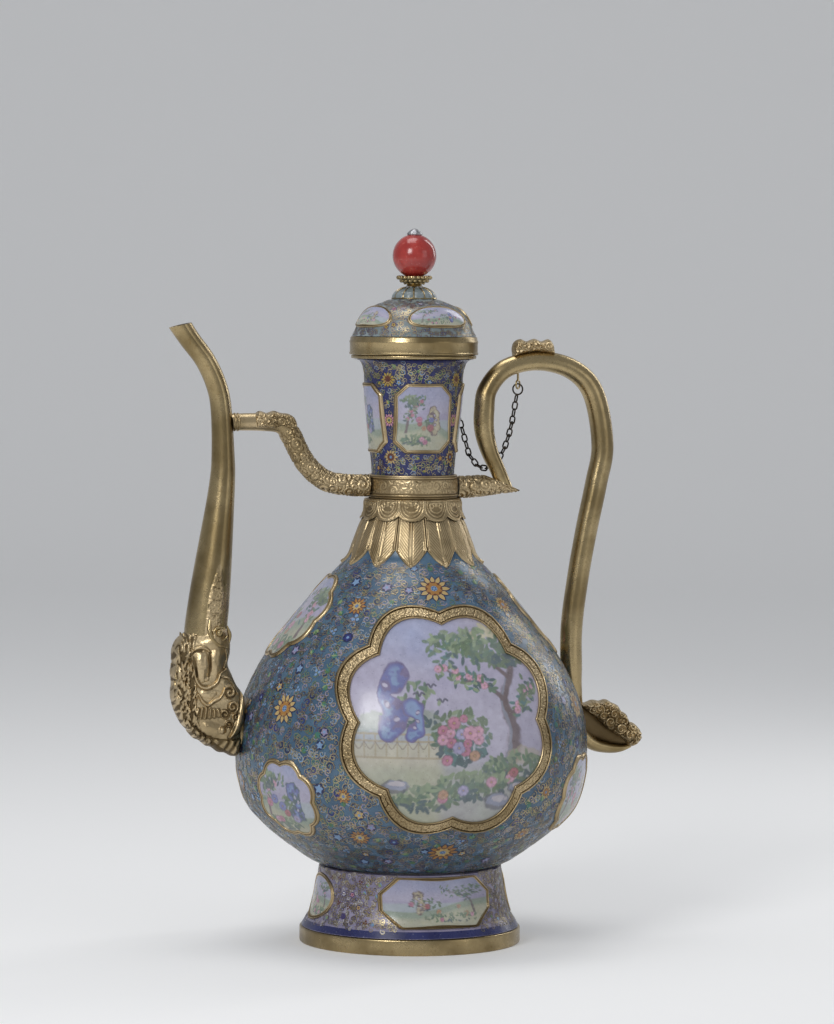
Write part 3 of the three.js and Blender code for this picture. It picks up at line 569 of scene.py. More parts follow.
def cloud_work(x, y, pitch, seed=2, period=None):
    """Heights from 0 to 1 of chased clouds: uneven curls thrown over each other. It may repeat along x."""
    rng = random.Random(seed)
    best = 0.25 * (0.5 + 0.5 * np.cos(TURN * y / 1.7))
    rank = np.zeros(np.shape(x))
    low, high = (0.0, period) if period else (float(np.min(x)), float(np.max(x)))
    floor_y, top_y = float(np.min(y)), float(np.max(y))
    step = 0.62 * pitch
    columns, rows = max(round((high - low) / step), 2), max(int((top_y - floor_y) / step), 1) + 1
    for j in range(rows):
        for i in range(columns):
            cx = low + (i + 0.5 * (j % 2) + rng.uniform(-0.25, 0.25)) * (high - low) / columns
            cy = floor_y + (j + rng.uniform(-0.25, 0.25)) * step
            size, hand = rng.uniform(0.4, 0.6) * pitch, rng.choice((-1, 1))
            turn, order = rng.uniform(0, TURN), rng.random()
            u, v = x - cx, y - cy
            if period:
                u = u - period * np.round(u / period)
            near = np.hypot(u, v) < size
            rho, phi = np.hypot(u[near], v[near]) / size, np.arctan2(v[near], u[near]) * hand + turn
            arm = 0.5 + 0.5 * np.cos(phi - TURN * 1.45 * rho)
            height = (0.35 + 0.65 * arm) * smooth(rho, 1, 0.86)
            over = (order >= rank[near]) & (height > 0.12)
            best[near] = np.where(over, height, best[near])
            rank[near] = np.where(over, order, rank[near])
    return np.clip(best, 0, 1)


def pillow(bm, outline, centre, width, round_edge, relief, around=300, rings=80):
    """Adds a cushion with a smooth outline in the plane y = 0, its two faces shaped by the same relief.

    The relief takes x, z, the distance in from the outline and the way round it, and gives height and depth.
    """
    corners = 240
    closed = curve([*outline, outline[0]], corners + 1)
    closed[-1] = closed[0]
    loop = closed[:-1]

    def face(side):
        def place(u, v):
            way = np.arange(corners + 1)
            edge = np.column_stack([np.interp(u * corners, way, closed[:, k]) for k in (0, 1)])
            spot = centre + (edge - centre) * v[:, None] ** 0.8
            inward = np.full(len(u), 1e9)
            for p, q in zip(loop, np.roll(loop, -1, axis=0)):
                d = q - p
                t = np.clip(((spot - p) @ d) / (d @ d), 0, 1)
                inward = np.minimum(inward, np.hypot(*(spot - p - t[:, None] * d).T))
            dome = np.sqrt(np.clip(1 - (1 - np.minimum(inward / round_edge, 1)) ** 2, 0, 1))
            height, depth = relief(spot[:, 0], spot[:, 1], inward, u)
            y = side * (width * dome + height * smooth(inward, 0, 1.2))
            return spot[:, 0], np.where(v > 0.9999, 0, y), spot[:, 1], np.clip(depth, 0, 1)
        return place

    for side in (-1, 1):
        woven(bm, around, rings, face(side), layer="depth")
    bmesh.ops.remove_doubles(bm, verts=bm.verts, dist=0.004)
    return bm


class Sheet:
    """Flat ornament that is laid on a wall or a panel when it is complete."""

    def __init__(self):
        self.bm = bmesh.new()
        self.tint = self.bm.loops.layers.float_color.new("tint")
        self.cells = []

    def tinted(self, face, colour):
        for loop in face.loops:
            loop[self.tint] = (*colour, 1)
        return face

    def face(self, points, colour, lift):
        area = sum(a[0] * b[1] - b[0] * a[1] for a, b in zip(points, [*points[1:], points[0]]))
        ordered = points if area > 0 else points[::-1]
        return self.tinted(self.bm.faces.new([self.bm.verts.new((x, y, lift)) for x, y in ordered]), colour)

    def cell(self, points, colour, lift):
        """A cell of enamel with a wire round it."""
        self.cells.append(self.face(points, colour, lift))

    def ribbon(self, points, width, lift, colour=None):
        """A ribbon along a line of points: a gilt wire or, with a colour, a tapered comma of enamel."""
        p = np.asarray(points, float)
        along = np.gradient(p, axis=0)
        along /= np.maximum(np.linalg.norm(along, axis=1), 1e-9)[:, None]
        half = np.full(len(p), width / 2)
        if colour:
            half = half * np.linspace(1, 0.3, len(p))
        side = np.column_stack([-along[:, 1], along[:, 0]]) * half[:, None]
        rows = [[self.bm.verts.new((x, y, lift)) for x, y in (q, w)] for q, w in zip(p + side, p - side)]
        for (a, b), (c, d) in zip(rows, rows[1:]):
            made = self.tinted(self.bm.faces.new((a, b, d, c)), colour or GOLD)
            made.material_index = 0 if colour else 1

    def lay(self, rim, place):
        """Puts the wires round the cells and shapes the whole sheet."""
        if self.cells:
            wires = bmesh.ops.inset_individual(self.bm, faces=self.cells, thickness=rim, use_even_offset=True)
            for face in wires["faces"]:
                face.material_index = 1
        bmesh.ops.triangulate(self.bm, faces=[f for f in self.bm.faces if len(f.verts) > 4])
        flat = np.array([v.co[:] for v in self.bm.verts])
        for vert, spot in zip(self.bm.verts, np.column_stack(place(*flat.T)).tolist()):
            vert.co = spot
        return self.bm


def moved(points, x, y, turn=0.0, stretch=1.0):
    """Points turned, then stretched along x, then moved."""
    c, s = math.cos(turn), math.sin(turn)
    return [(x + (px * c - py * s) * stretch, y + px * s + py * c) for px, py in points]


def petal(length, width, base=0.0, point=0.5, bend=0.0):
    """A petal that starts at the origin and points up."""
    t = np.linspace(0, 1, 5)[1:-1]
    side = width / 2 * np.sin(math.pi * t ** (0.6 + point * 0.4))
    lean = bend * t ** 2
    right = [(w + b, base + length * k) for w, k, b in zip(side, t, lean)]
    left = [(b - w, base + length * k) for w, k, b in zip(side, t, lean)][::-1]
    return [(0.12 * width, base), *right, (bend, base + length), *left, (-0.12 * width, base)]


def spiral(radius, turns, steps, inner):
    """A spiral from the origin inwards, to a share of its radius."""
    k = np.linspace(0, 1, steps)
    reach = radius * (1 - (1 - inner) * k)
    return [(r * math.cos(TURN * turns * t) - radius, r * math.sin(TURN * turns * t))
            for r, t in zip(reach, k)]


def disc(radius, sides=8):
    return [(radius * math.cos(TURN * i / sides), radius * math.sin(TURN * i / sides)) for i in range(sides)]


def plum(radius):
    """A five-petalled blossom as one outline."""
    return [((radius if i % 2 else radius * 0.55) * math.cos(TURN * i / 10),
             (radius if i % 2 else radius * 0.55) * math.sin(TURN * i / 10))
            for i in range(10)]


def lotus(sheet, x, y, size, stretch, outer, inner, heart):
    """A full lotus blossom: pointed outer petals on a dark ground, rounder inner ones and a dotted pod."""
    for i in range(12):
        length = 1.0 if i % 2 else 0.86
        back = petal(length * size * 0.74, size * 0.4, size * 0.3, 0.9)
        front = petal(length * size * 0.6, size * 0.27, size * 0.36, 0.9)
        sheet.face(moved(back, x, y, TURN * i / 12, stretch), PALETTE["deep"], 0.001 * i)
        sheet.cell(moved(front, x, y, TURN * i / 12, stretch), outer, 0.03 if i % 2 else 0.04)
    sheet.face(moved(disc(size * 0.5, 14), x, y, 0, stretch), PALETTE["rust"], 0.06)
    for i in range(8):
        points = petal(size * 0.36, size * 0.28, size * 0.14, 0.3)
        sheet.cell(moved(points, x, y, TURN * (i + 0.5) / 8, stretch), inner, 0.07)
    sheet.cell(moved(disc(size * 0.19, 10), x, y, 0, stretch), heart, 0.1)
    for i in range(6):
        dot = moved(disc(size * 0.04, 5), 0, size * 0.11)
        sheet.face(moved(dot, x, y, TURN * i / 6, stretch), PALETTE["deep"], 0.13)


def lotus_on(sheet, wall, azimuth, height, size, tones):
    """Lays a lotus blossom at an azimuth in radians and a height on a wall, and returns its place."""
    stretch = wall.r.max() / wall.radius(height)
    lotus(sheet, azimuth * wall.r.max(), float(wall.way(height)), size, stretch, *tones)
    return wall.spot(azimuth, wall.way(height))


def scatter(sheet, wall, low, high, spacing, choose, keep_out, seed):
    """Fills a wall with small motifs on a shaken grid, apart from the places kept free."""
    rng = random.Random(seed)
    start, end = wall.way(low), wall.way(high)
    rows = int((end - start) / spacing)
    for i in range(rows):
        s = start + (i + 0.5) * (end - start) / rows
        radius = float(np.interp(s, wall.s, wall.r))
        count = max(int(TURN * radius / spacing), 6)
        for j in range(count):
            way = s + rng.uniform(-0.28, 0.28) * spacing
            azimuth = TURN * (j + 0.5 * (i % 2) + rng.uniform(-0.28, 0.28)) / count
            if not keep_out(wall.spot(azimuth, way)):
                choose(sheet, rng, azimuth * wall.r.max(), way, wall.r.max() / radius)


def on_wall(wall):
    """The placing function of a sheet whose x is the azimuth at the wall's widest radius."""
    return lambda x, y, lift: wall.place(x / wall.r.max(), y, lift + 0.14)


def curls(dark, size, wire):
    """A chooser that lays small scrolls: a dark comma of enamel with a gilt wire round its back."""
    def choose(sheet, rng, x, y, stretch):
        turn, hand, k = rng.uniform(0, TURN), rng.choice((-1, 1)), size * rng.uniform(0.85, 1.15)
        comma, back = ([(px, hand * py) for px, py in spiral(r * k, 1.15, 8, 0.25)] for r in (0.56, 0.66))
        sheet.ribbon(moved(comma, x, y, turn, stretch), 0.24 * k, 0.0, dark[rng.randrange(len(dark))])
        sheet.ribbon(moved(back, x, y, turn, stretch), wire, 0.02)
    return choose


def sprigs(colours, size):
    """A chooser of larger motifs: arabesque scrolls, paired leaves, little blossoms and buds."""
    def choose(sheet, rng, x, y, stretch):
        pick, turn, k = rng.random(), rng.uniform(0, TURN), size * rng.uniform(0.85, 1.15)
        hand = rng.choice((-1, 1))
        if pick < 0.34:
            line = [(px, hand * py) for px, py in spiral(0.75 * k, 1.2, 12, 0.2)]
            sheet.ribbon(moved(line, x, y, turn, stretch), 0.36 * k, 0.05, colours[rng.randrange(2)])
            line = [(px, hand * py) for px, py in spiral(0.93 * k, 1.2, 14, 0.25)]
            sheet.ribbon(moved(line, x, y, turn, stretch), 0.34, 0.07)
        elif pick < 0.66:
            for lean in (-0.75, 0, 0.75):
                points = petal(k * (1.15 - abs(lean) * 0.3), k * 0.46, 0, 0.7, 0.3 * k * lean)
                tone = colours[2 + rng.randrange(3)]
                sheet.cell(moved(points, x, y, turn + lean, stretch), tone, 0.05 + 0.01 * lean)
        elif pick < 0.88:
            sheet.face(moved(disc(0.86 * k, 10), x, y, turn, stretch), colours[0], 0.04)
            sheet.cell(moved(plum(0.8 * k), x, y, turn, stretch), colours[5 + rng.randrange(4)], 0.06)
            sheet.cell(moved(disc(0.26 * k, 6), x, y, turn, stretch), colours[9], 0.09)
        else:
            for i in range(3):
                spot = moved([(0.42 * k, 0)], x, y, turn + TURN * i / 3, stretch)[0]
                sheet.cell(moved(disc(0.3 * k, 6), *spot, 0, stretch), colours[9], 0.05)
    return choose


def palette(*names):
    return [PALETTE[name] for name in names]


def clear_of(panels, spots, margin=0.6):
    """Whether a place on a wall is under a panel or a large blossom."""
    def test(point):
        if any(panel.covers(point, margin) for panel in panels):
            return True
        return any(math.dist(point, spot) < reach for spot, reach in spots)
    return test


def dress_body():
    """The enamelled belly, its lotus blossoms and the small scrolls between them."""
    wall = WALLS["body"]
    outer = list(zip(wall.r, wall.z))[::3]
    inner = [(r - 1.6, z) for r, z in outer if 44 < z < 229][::-1]
    mouth = [(21.4, 243), (21.4, 235)]
    piece("body_shell_enamel", turned([(0, 39.6), *outer, *mouth, *inner, (0, 43)], 200), "vessel",
          ["turquoise"], ["body_shell"])
    blossoms = [(0, 196.5, 9.5), (180, 196.5, 9.5), (0, 57.5, 9), (180, 57.5, 9), (61, 133, 9), (-61, 133, 9),
           (119, 133, 9), (-119, 133, 9), (90, 128, 9), (-90, 128, 9), (90, 90, 7), (-90, 90, 7),
           (45, 187, 6), (-45, 187, 6), (135, 187, 6), (-135, 187, 6), (33, 66, 6), (-33, 66, 6),
           (147, 66, 6), (-147, 66, 6), (36, 89, 4.6), (-36, 89, 4.6), (144, 89, 4.6), (-144, 89, 4.6)]
    sheet = Sheet()
    trios = [palette(*names) for names in (("tan", "ochre", "sky"), ("ochre", "tan", "sky"),
                                           ("tan", "sky", "rust"), ("ochre", "sky", "tan"))]
    spots = []
    for i, (azimuth, height, size) in enumerate(blossoms):
        tones = trios[i % 4 if i > 9 else i // 2 % 2]
        spots.append((lotus_on(sheet, wall, math.radians(azimuth), height, size, tones), size * 0.98))
    panels = panels_on("body")
    colours = palette("deep", "cobalt", "teal_leaf", "pale_leaf", "leaf", "sky", "lilac", "cobalt", "tan",
                      "sky")
    scatter(sheet, wall, 43, 209, 10.4, sprigs(colours, 3.2), clear_of(panels, spots, 2.5), 7)
    piece("body_lotus_scrolls", sheet.lay(0.32, on_wall(wall)), "vessel",
          ["cells", "wire"])
    dark = palette("deep", "lilac", "cobalt", "deep", "teal_leaf", "sky")
    for name, low, high, seed in (("lower", 41.5, 92, 11), ("middle", 92, 136, 12), ("upper", 136, 210, 13)):
        sheet = Sheet()
        scatter(sheet, wall, low, high, 3.1, curls(dark, 3.5, 0.3), clear_of(panels, spots), seed)
        piece(f"body_curls_{name}", sheet.lay(0.3, on_wall(wall)), "vessel",
              ["cells", "wire"])


def dress_neck_and_foot():
    """The enamelled neck and foot with their scrolls, the cobalt lip and the two gilt rims."""
    wall = WALLS["neck"]
    outer = list(zip(wall.r, wall.z))[::6]
    bore = [(26.2, 318.9), (25.6, 312), (24.7, 296.5), (21.1, 259.3), (21.1, 243.3)]
    piece("neck_enamel", turned([*outer, *bore], 144), "vessel", ["cobalt"], ["neck_tube"])
    panels = panels_on("neck")
    sheet = Sheet()
    spots = []
    for i in range(4):
        for height, size, trio in ((266, 4.4, ("tan", "rust", "sky")), (308, 4.6, ("yellow", "tan", "rust")),
                                   (286, 4.0, ("pink", "tan", "leaf"))):
            azimuth = math.radians(45 + 90 * i)
            spots.append((lotus_on(sheet, wall, azimuth, height, size, palette(*trio)), size))
    colours = palette("deep", "sky", "leaf", "pale_leaf", "yellow", "pink", "tan", "sky", "ochre", "yellow")
    keep_out = clear_of(panels, spots)
    scatter(sheet, wall, 257, 316.5, 6.2, sprigs(colours, 1.9), keep_out, 21)
    dark = palette("deep", "deep", "sky", "leaf")
    scatter(sheet, wall, 256.5, 317, 2.4, curls(dark, 2.7, 0.3), keep_out, 22)
    piece("neck_scrolls", sheet.lay(0.24, on_wall(wall)), "vessel", ["cells", "wire"])

    wall = WALLS["foot"]
    outer = list(zip(wall.r, wall.z))[::6]
    bore = [(47.8, 42.4), (47.8, 40), (52.4, 17.6), (56.4, 9)]
    piece("foot_enamel", turned([*outer, *bore], 168), "vessel", ["lilac"], ["foot_ring"])
    sheet = Sheet()
    colours = palette("violet", "mauve", "leaf", "pale_leaf", "sky", "pink", "white", "ochre", "tan", "rust")
    keep_out = clear_of(panels_on("foot"), [])
    scatter(sheet, wall, 14, 41, 6.4, sprigs(colours, 1.9), keep_out, 31)
    dark = palette("violet", "mauve", "deep", "white")
    scatter(sheet, wall, 13, 42, 1.95, curls(dark, 2.4, 0.24), keep_out, 32)
    piece("foot_scrolls", sheet.lay(0.24, on_wall(wall)), "vessel", ["cells", "wire"])

    def cobalt_lip(u, v):
        return wall.place(TURN * u, wall.way(9.2 + 3.4 * v), 0.1 * np.ones_like(u))

    lip = woven(bmesh.new(), 168, 3, cobalt_lip)
    piece("foot_cobalt_lip", lip, "vessel", ["cobalt"])
    rim = bevelled_ring(55.5, 60.5, 0, 8.7, 0.9)
    piece("foot_rim_gilt", rim, "vessel", ["gilt"], ["foot_rim"])
    rim = bevelled_ring(26.4, 34.2, 319.2, 321, 0.5)
    piece("mouth_rim_gilt", rim, "vessel", ["gilt"], ["mouth_rim"])


def dress_collars():
    """The plantain leaves, the lappets over them and the chased band at the foot of the neck."""
    wall = WALLS["body"]
    half = math.pi / 12

    def leaves(u, v):
        azimuth = TURN * u
        x = (azimuth / half) % 2 - 1
        tip = 207 + 8.8 * np.abs(x) ** 1.35
        s = wall.way(tip) + (wall.way(233.5) - wall.way(tip)) * v
        radius = np.interp(s, wall.s, wall.r)
        across = np.abs(x) * half * radius
        side = half * radius - across
        bottom = (s - wall.way(tip)) * 0.8
        edge = np.minimum(side, bottom)
        ribs = 0.5 + 0.5 * np.cos(TURN * (s * 0.9 - across * 1.3) / 1.9)
        inside = smooth(edge, 1.6, 2.2) * smooth(across, 0.7, 1.1)
        height = (0.55 + 0.5 * ridge(edge - 0.55, 0.5) + 0.35 * ridge(edge - 1.5, 0.35)
                  + 0.75 * ridge(across, 0.7) + inside * (0.18 * ribs + 0.35 * (1 - x * x)))
        height = height * smooth(v, 0, 0.02) - 0.45 * ridge(side, 0.28)
        # painted shade: deep darkens the leaves' edges, their hollows and the gaps between the leaves
        deep = np.clip(ridge(edge - 1.0, 0.4) * 0.7 + inside * (1 - ribs) * 0.75 + ridge(side, 0.4), 0, 1)
        return (*wall.place(azimuth, s, height), deep)

    bm = woven(bmesh.new(), 540, 58, leaves, layer="depth")

    def lappets(u, v):
        azimuth = TURN * u
        x = (azimuth / half) % 2 - 1
        reach = np.abs(x) * half * 27.6
        low = 231.4 + 2.6 * np.abs(x) ** 2.2
        z = low + (243.1 - low) * v
        r = np.interp(z, [231.4, 234, 236.5, 243.1], [28.7, 27.3, 26.4, 26.0])
        rho = np.hypot(reach, (z - 240.5) * 0.86)
        flat = np.hypot(reach, (z - 238.6) * 1.5)
        bows = ridge(rho - 7.0, 0.55) + ridge(rho - 5.5, 0.35) + ridge(flat - 3.6, 0.5) * (z < 239.6)
        bows = bows + ridge(np.hypot(reach - 2.9, z - 239.8) - 1.1, 0.42)
        scrolls = scrollwork(azimuth * 28, z - 238.5, 3.1) * (rho > 7.6) * 0.6
        line = ridge(z - 242.6, 0.4) + ridge(z - 241.4, 0.3)
        seed = ridge(rho - 0.2, 1.0)
        height = 0.1 + 0.5 * np.clip(bows + scrolls + line + seed, 0, 1) + 0.25 * smooth(v, 0, 0.06)
        height = height * smooth(v, 0, 0.03)
        r = r - 2.2 * smooth(v, 0.955, 1)
        # painted shade: deep darkens the low ground between the bows, scrolls and lines
        deep = np.clip(0.85 - bows - scrolls - line - seed, 0, 1) * 0.8
        return (*round_axis(azimuth, r + height, z), deep)

    woven(bm, 480, 30, lappets, layer="depth")
    piece("leaf_collar_relief", bm, "vessel", ["chased"], ["leaf_collar"], 70)

    def band(u, v):
        corners = [(22.9, 243.1), (23.9, 243.1), (24.2, 243.7), (24.2, 255.5), (23.9, 256), (22.9, 256)]
        share = [0, 0.08, 0.1, 0.9, 0.92, 1]
        r = np.interp(v, share, [c[0] for c in corners])
        z = np.interp(v, share, [c[1] for c in corners])
        face = smooth(v, 0.1, 0.12) * smooth(v, 0.9, 0.88)
        lines = (ridge(z - 245.1, 0.42) + ridge(z - 254.6, 0.42)
                 + 0.6 * ridge(z - 246.2, 0.25) + 0.6 * ridge(z - 253.5, 0.25))
        field = cloud_work(TURN * u * 24.4, z - 249.9, 6.0, 4, TURN * 24.4)
        inside = smooth(np.abs(z - 249.85), 3.5, 3.1)
        height = face * (0.38 * np.clip(lines, 0, 1) + 0.34 * field * inside)
        # painted shade: deep darkens the band's ground between its lines and clouds
        deep = face * np.clip(1 - lines - field * 1.2 * inside, 0, 1)
        return (*round_axis(TURN * u, r + height, z), deep)

    bm = woven(bmesh.new(), 480, 50, band, layer="depth")
    piece("collar_band_relief", bm, "vessel", ["chased"], ["collar_band"], 70)


def dress_spout():
    """The spout's pipe: a crease up each of its sides, and a chased scroll below the crease."""
    near_side, far_side, around = 0.778, 0.222, 66

    def scroll(u, along):
        off = np.minimum(np.abs(u - near_side), np.abs(u - far_side))
        keel = 0.5 * np.clip(1 - off / 0.13, 0, 1) * smooth(along, 102, 114)
        reach = 3.8 * smooth(along, 122, 92) + 0.4
        inside = smooth(off * TURN * 10.5, reach, reach - 0.9)
        inside = inside * smooth(along, 70, 84) * smooth(along, 114, 107)
        near = inside > 0
        field = 0 * u
        field[near] = cloud_work(u[near] * around % around, along[near], 4.4, 5, around)
        # painted shade: the second value darkens the low parts of the chased scroll
        return keel + 0.8 * field * inside, np.clip(1.15 - 1.5 * field, 0, 1) * inside

    bm = tube(bmesh.new(), flat_path(SPOUT), SPOUT_RADII, 112, 400, relief=scroll, layer="depth")
    tube(bm, flat_path(SPOUT[-6:]), [4.4, 4.3, 4.3, 4.5, 5.1], 36, 40)
    # Both the pipe and its bore run past the mouth, and one slanting cut makes the lip
    normal = Vector((-0.24, 0, 1)).normalized()
    lip = Vector((-129.2, 0, 336.8))
    bmesh.ops.bisect_plane(bm, geom=[*bm.verts, *bm.edges, *bm.faces], plane_co=lip, plane_no=normal,
                           clear_outer=True)
    rims = [e for e in bm.edges if e.is_boundary and abs((e.verts[0].co - lip).dot(normal)) < 0.01]
    bmesh.ops.bridge_loops(bm, edges=rims)
    bmesh.ops.holes_fill(bm, edges=[e for e in bm.edges if e.is_boundary], sides=0)
    bmesh.ops.recalc_face_normals(bm, faces=bm.faces)
    chased = bm.verts.layers.float["depth"]
    for face in bm.faces:
        face.material_index = int(any(v[chased] > 0.02 for v in face.verts))
    piece("spout_pipe", bm, "vessel", ["gilt", "chased"], ["spout_tube"])


def ball(bm, x, y, z, radius):
    place = Matrix.Translation((x, y, z))
    bmesh.ops.create_uvsphere(bm, u_segments=14, v_segments=9, radius=radius, matrix=place)


# The dragon's head, as x and z in its own plane: its outline, lip and chin
DRAGON = [(-121, 173.5), (-127.8, 170), (-131.8, 165.8), (-133.6, 160), (-133.2, 154.5), (-134.2, 149.5),
          (-133.6, 143.5), (-134.1, 137), (-132.8, 130.6), (-131.2, 126.6), (-128.3, 121.2), (-125.4, 118.2),
          (-122.1, 113.8), (-118.6, 112.2), (-115.2, 109.4), (-111.8, 108.4), (-108.3, 105.8),
          (-104.4, 105.2), (-100.8, 103.4), (-97.3, 104), (-95.3, 109), (-94.2, 121), (-93.8, 129.3),
          (-94.4, 136.5), (-98.2, 142.3), (-101, 148.4), (-103, 153.8), (-101.8, 160), (-101.9, 167),
          (-104, 173.5), (-108, 177.5), (-114.5, 178.5)]
LIP = [(-124, 152.4), (-122.6, 146), (-119.8, 142.4), (-115.4, 142.1), (-111.3, 144.8), (-109.2, 149.2),
       (-105.4, 151.6)]
CHIN = [(-121.4, 138.6), (-119, 134.4), (-116, 132.6), (-112.6, 134.8), (-109.2, 136.7), (-106.8, 141.7)]
# Lobes of its face: place, half sizes and height
LOBES = [(-119.4, 153.6, 4.4, 9.2, 2.3), (-111.4, 156, 4.8, 8, 2.1), (-113.2, 152.4, 1.9, 1.7, 0.9),
         (-109.4, 159.2, 2.1, 2.6, 0.8), (-117.1, 146.6, 1.9, 1.6, 0.8), (-112.5, 166, 7, 4.5, 1.0),
         (-108.2, 118.8, 2.3, 2.3, 2.4), (-116, 138.6, 5, 3, 1.1), (-115.5, 119, 7.5, 4.5, 1.3)]
# Raised lines: points, half width and height
RAISED = [(LIP, 1.25, 1.9),
          (CHIN, 1.1, 1.5),
          ([(-106.4, 163.4), (-104.2, 157), (-106.8, 152.4)], 1.2, 1.2),
          ([(-124.6, 160.6), (-122.6, 163), (-118.4, 163.4), (-114.8, 161)], 1.1, 1.4),
          ([(-101, 149), (-99.4, 144.4), (-96, 140)], 1.0, 1.1),
          ([(-108.6, 147), (-104.6, 146.6), (-101.4, 143.4), (-99, 138)], 0.9, 1.2)]
# Furrows: points, half width and depth
FURROWS = [([(-125.4, 159), (-123.2, 161.4), (-119.6, 161.9)], 0.9, 1.3),
           ([(-124, 158.6), (-123.2, 153), (-122.4, 148)], 0.8, 1.2),
           ([(-115.3, 160.4), (-115, 153), (-115.4, 148)], 0.8, 0.8),
           ([(-124, 121.4), (-117, 115.8), (-109.7, 113.6), (-103.6, 113.4), (-98.6, 113.6)], 0.8, 1.2)]
# Leaf curls: place, radius, first angle and hand
SWIRLS = [(-103.8, 139.2, 4.2, 0, 1), (-102.4, 131.3, 3.8, 2, -1), (-106.8, 127.6, 3.2, 4, 1),
          (-99.8, 125.6, 2.8, 1, 1), (-104.8, 121.8, 2.6, 3, -1)]
CRESCENT = [(-95.8, 139.6), (-94.9, 131.4), (-96.3, 125.6), (-99.2, 120), (-103.8, 115)]


def flames(x, z):
    """Heights from 0 to 1 of the mane: uneven locks with curled tips, one over another."""
    rng = random.Random(14)
    best = np.zeros(x.shape)
    for i in range(13):
        for j in range(22):
            cx = -136 + 1.75 * i + rng.uniform(-0.7, 0.7)
            cz = 104 + 3.3 * j + 1.6 * (i % 2) + rng.uniform(-0.9, 0.9)
            lean, length, wide = rng.uniform(-0.55, 0.35), rng.uniform(3.8, 6.4), rng.uniform(0.8, 1.3)
            u, v = swung(x - cx, z - cz, lean)
            b = np.clip(v / length, 0, 1)
            u = u - 0.9 * b * b * (1 if i % 3 else -1)
            lock = np.clip(1 - (u / (wide * np.sqrt(1.02 - b))) ** 2, 0, 1) * (0.35 + 0.65 * b)
            best = np.maximum(best, lock * (v > 0) * (v < length))
    return best


def dragon_relief(x, z, inward, way):
    """The chasing of the dragon's head: mane, muzzle, lips, teeth, leaf curls and a crescent scroll."""
    def bump(cx, cz, rx, rz, height):
        return height * ridge(np.hypot((x - cx) / rx, (z - cz) / rz), 1.0)

    def line(points, width, height):
        gap, share = away_from(x, z, points)
        taper = width * (0.45 + 0.55 * np.sin(math.pi * np.clip(share, 0.04, 0.96)))
        # the second value is painted shadow in a band beside the raised line
        return height * ridge(gap, taper), 0.7 * ridge(gap - taper * 1.2, taper * 0.55)

    def swirl(cx, cz, radius, turn, hand):
        rho, phi = np.hypot(x - cx, z - cz) / radius, np.arctan2(z - cz, x - cx) * hand + turn
        arm = 0.5 + 0.5 * np.cos(phi - TURN * 1.7 * rho)
        inside = smooth(rho, 1, 0.85)
        return 1.5 * arm * inside, (1 - arm) * 0.85 * inside

    warp = 2.6 * (grain(x, z, 7, 8) - 0.5)
    edge_x = np.interp(z, [104, 110, 115, 122, 130, 138, 149, 161, 168, 175],
                       [-99, -109, -115.6, -120.6, -122.4, -122, -123.4, -124.6, -122.6, -118])
    mane = smooth(edge_x - x + 0.5 * warp, -0.4, 0.9)
    flame = flames(x, z)
    height = mane * (2.1 * flame + 0.4 * smooth(inward, 5, 1)) + (1 - mane) * 0.35 * grain(x, z, 1.5, 4)
    # depth is painted shade: the hollows of the mane, the furrows, curls and flutes are darkened
    depth = mane * np.clip(1.1 - 1.7 * flame, 0, 1)
    face = 1 - mane
    height = height + face * np.maximum.reduce([bump(*lobe) for lobe in LOBES])
    for points, width, tall in RAISED:
        up, dark = line(points, width, tall)
        height, depth = np.maximum(height, up + 0.6 * height * (up > 0)), np.maximum(depth, face * dark)
    for points, width, low in FURROWS:
        gap, _ = away_from(x, z, points)
        height = height - low * ridge(gap, width)
        depth = np.maximum(depth, ridge(gap, width * 1.2))
    for k in range(6):
        top, foot = (-121.4 + 2.2 * k, 130.2 + 0.8 * math.sin(k)), (-122.8 + 2.6 * k, 125.2 + 0.3 * k)
        gap, _ = away_from(x, z, [top, foot])
        height = height + 1.1 * ridge(gap, 0.75)
        depth = np.maximum(depth, 0.9 * ridge(gap - 1.2, 0.5) * (z < 131.5) * (z > 124.5) * face)
    for leaf in SWIRLS:
        up, dark = swirl(*leaf)
        height, depth = np.maximum(height, up), np.maximum(depth, dark)
    gap, share = away_from(x, z, CRESCENT)
    wide = 3.0 * np.sin(math.pi * np.clip(share, 0.05, 0.97)) ** 0.7 + 0.3
    height = np.maximum(height, 3.0 * ridge(gap, wide))
    depth = np.where(gap < wide, depth * 0.2, np.maximum(depth, ridge(gap - wide - 0.5, 0.6)))
    below = smooth(z - np.interp(x, [-124, -117, -109.7, -98], [121.4, 115.8, 113.6, 113.6]), 0, -1)
    flutes = 0.5 + 0.5 * np.cos(TURN * (x * 0.9 - z * 0.5 + warp) / 4.1)
    height = height + below * 1.3 * flutes
    return height, np.maximum(depth, below * (1 - flutes) * 0.9)


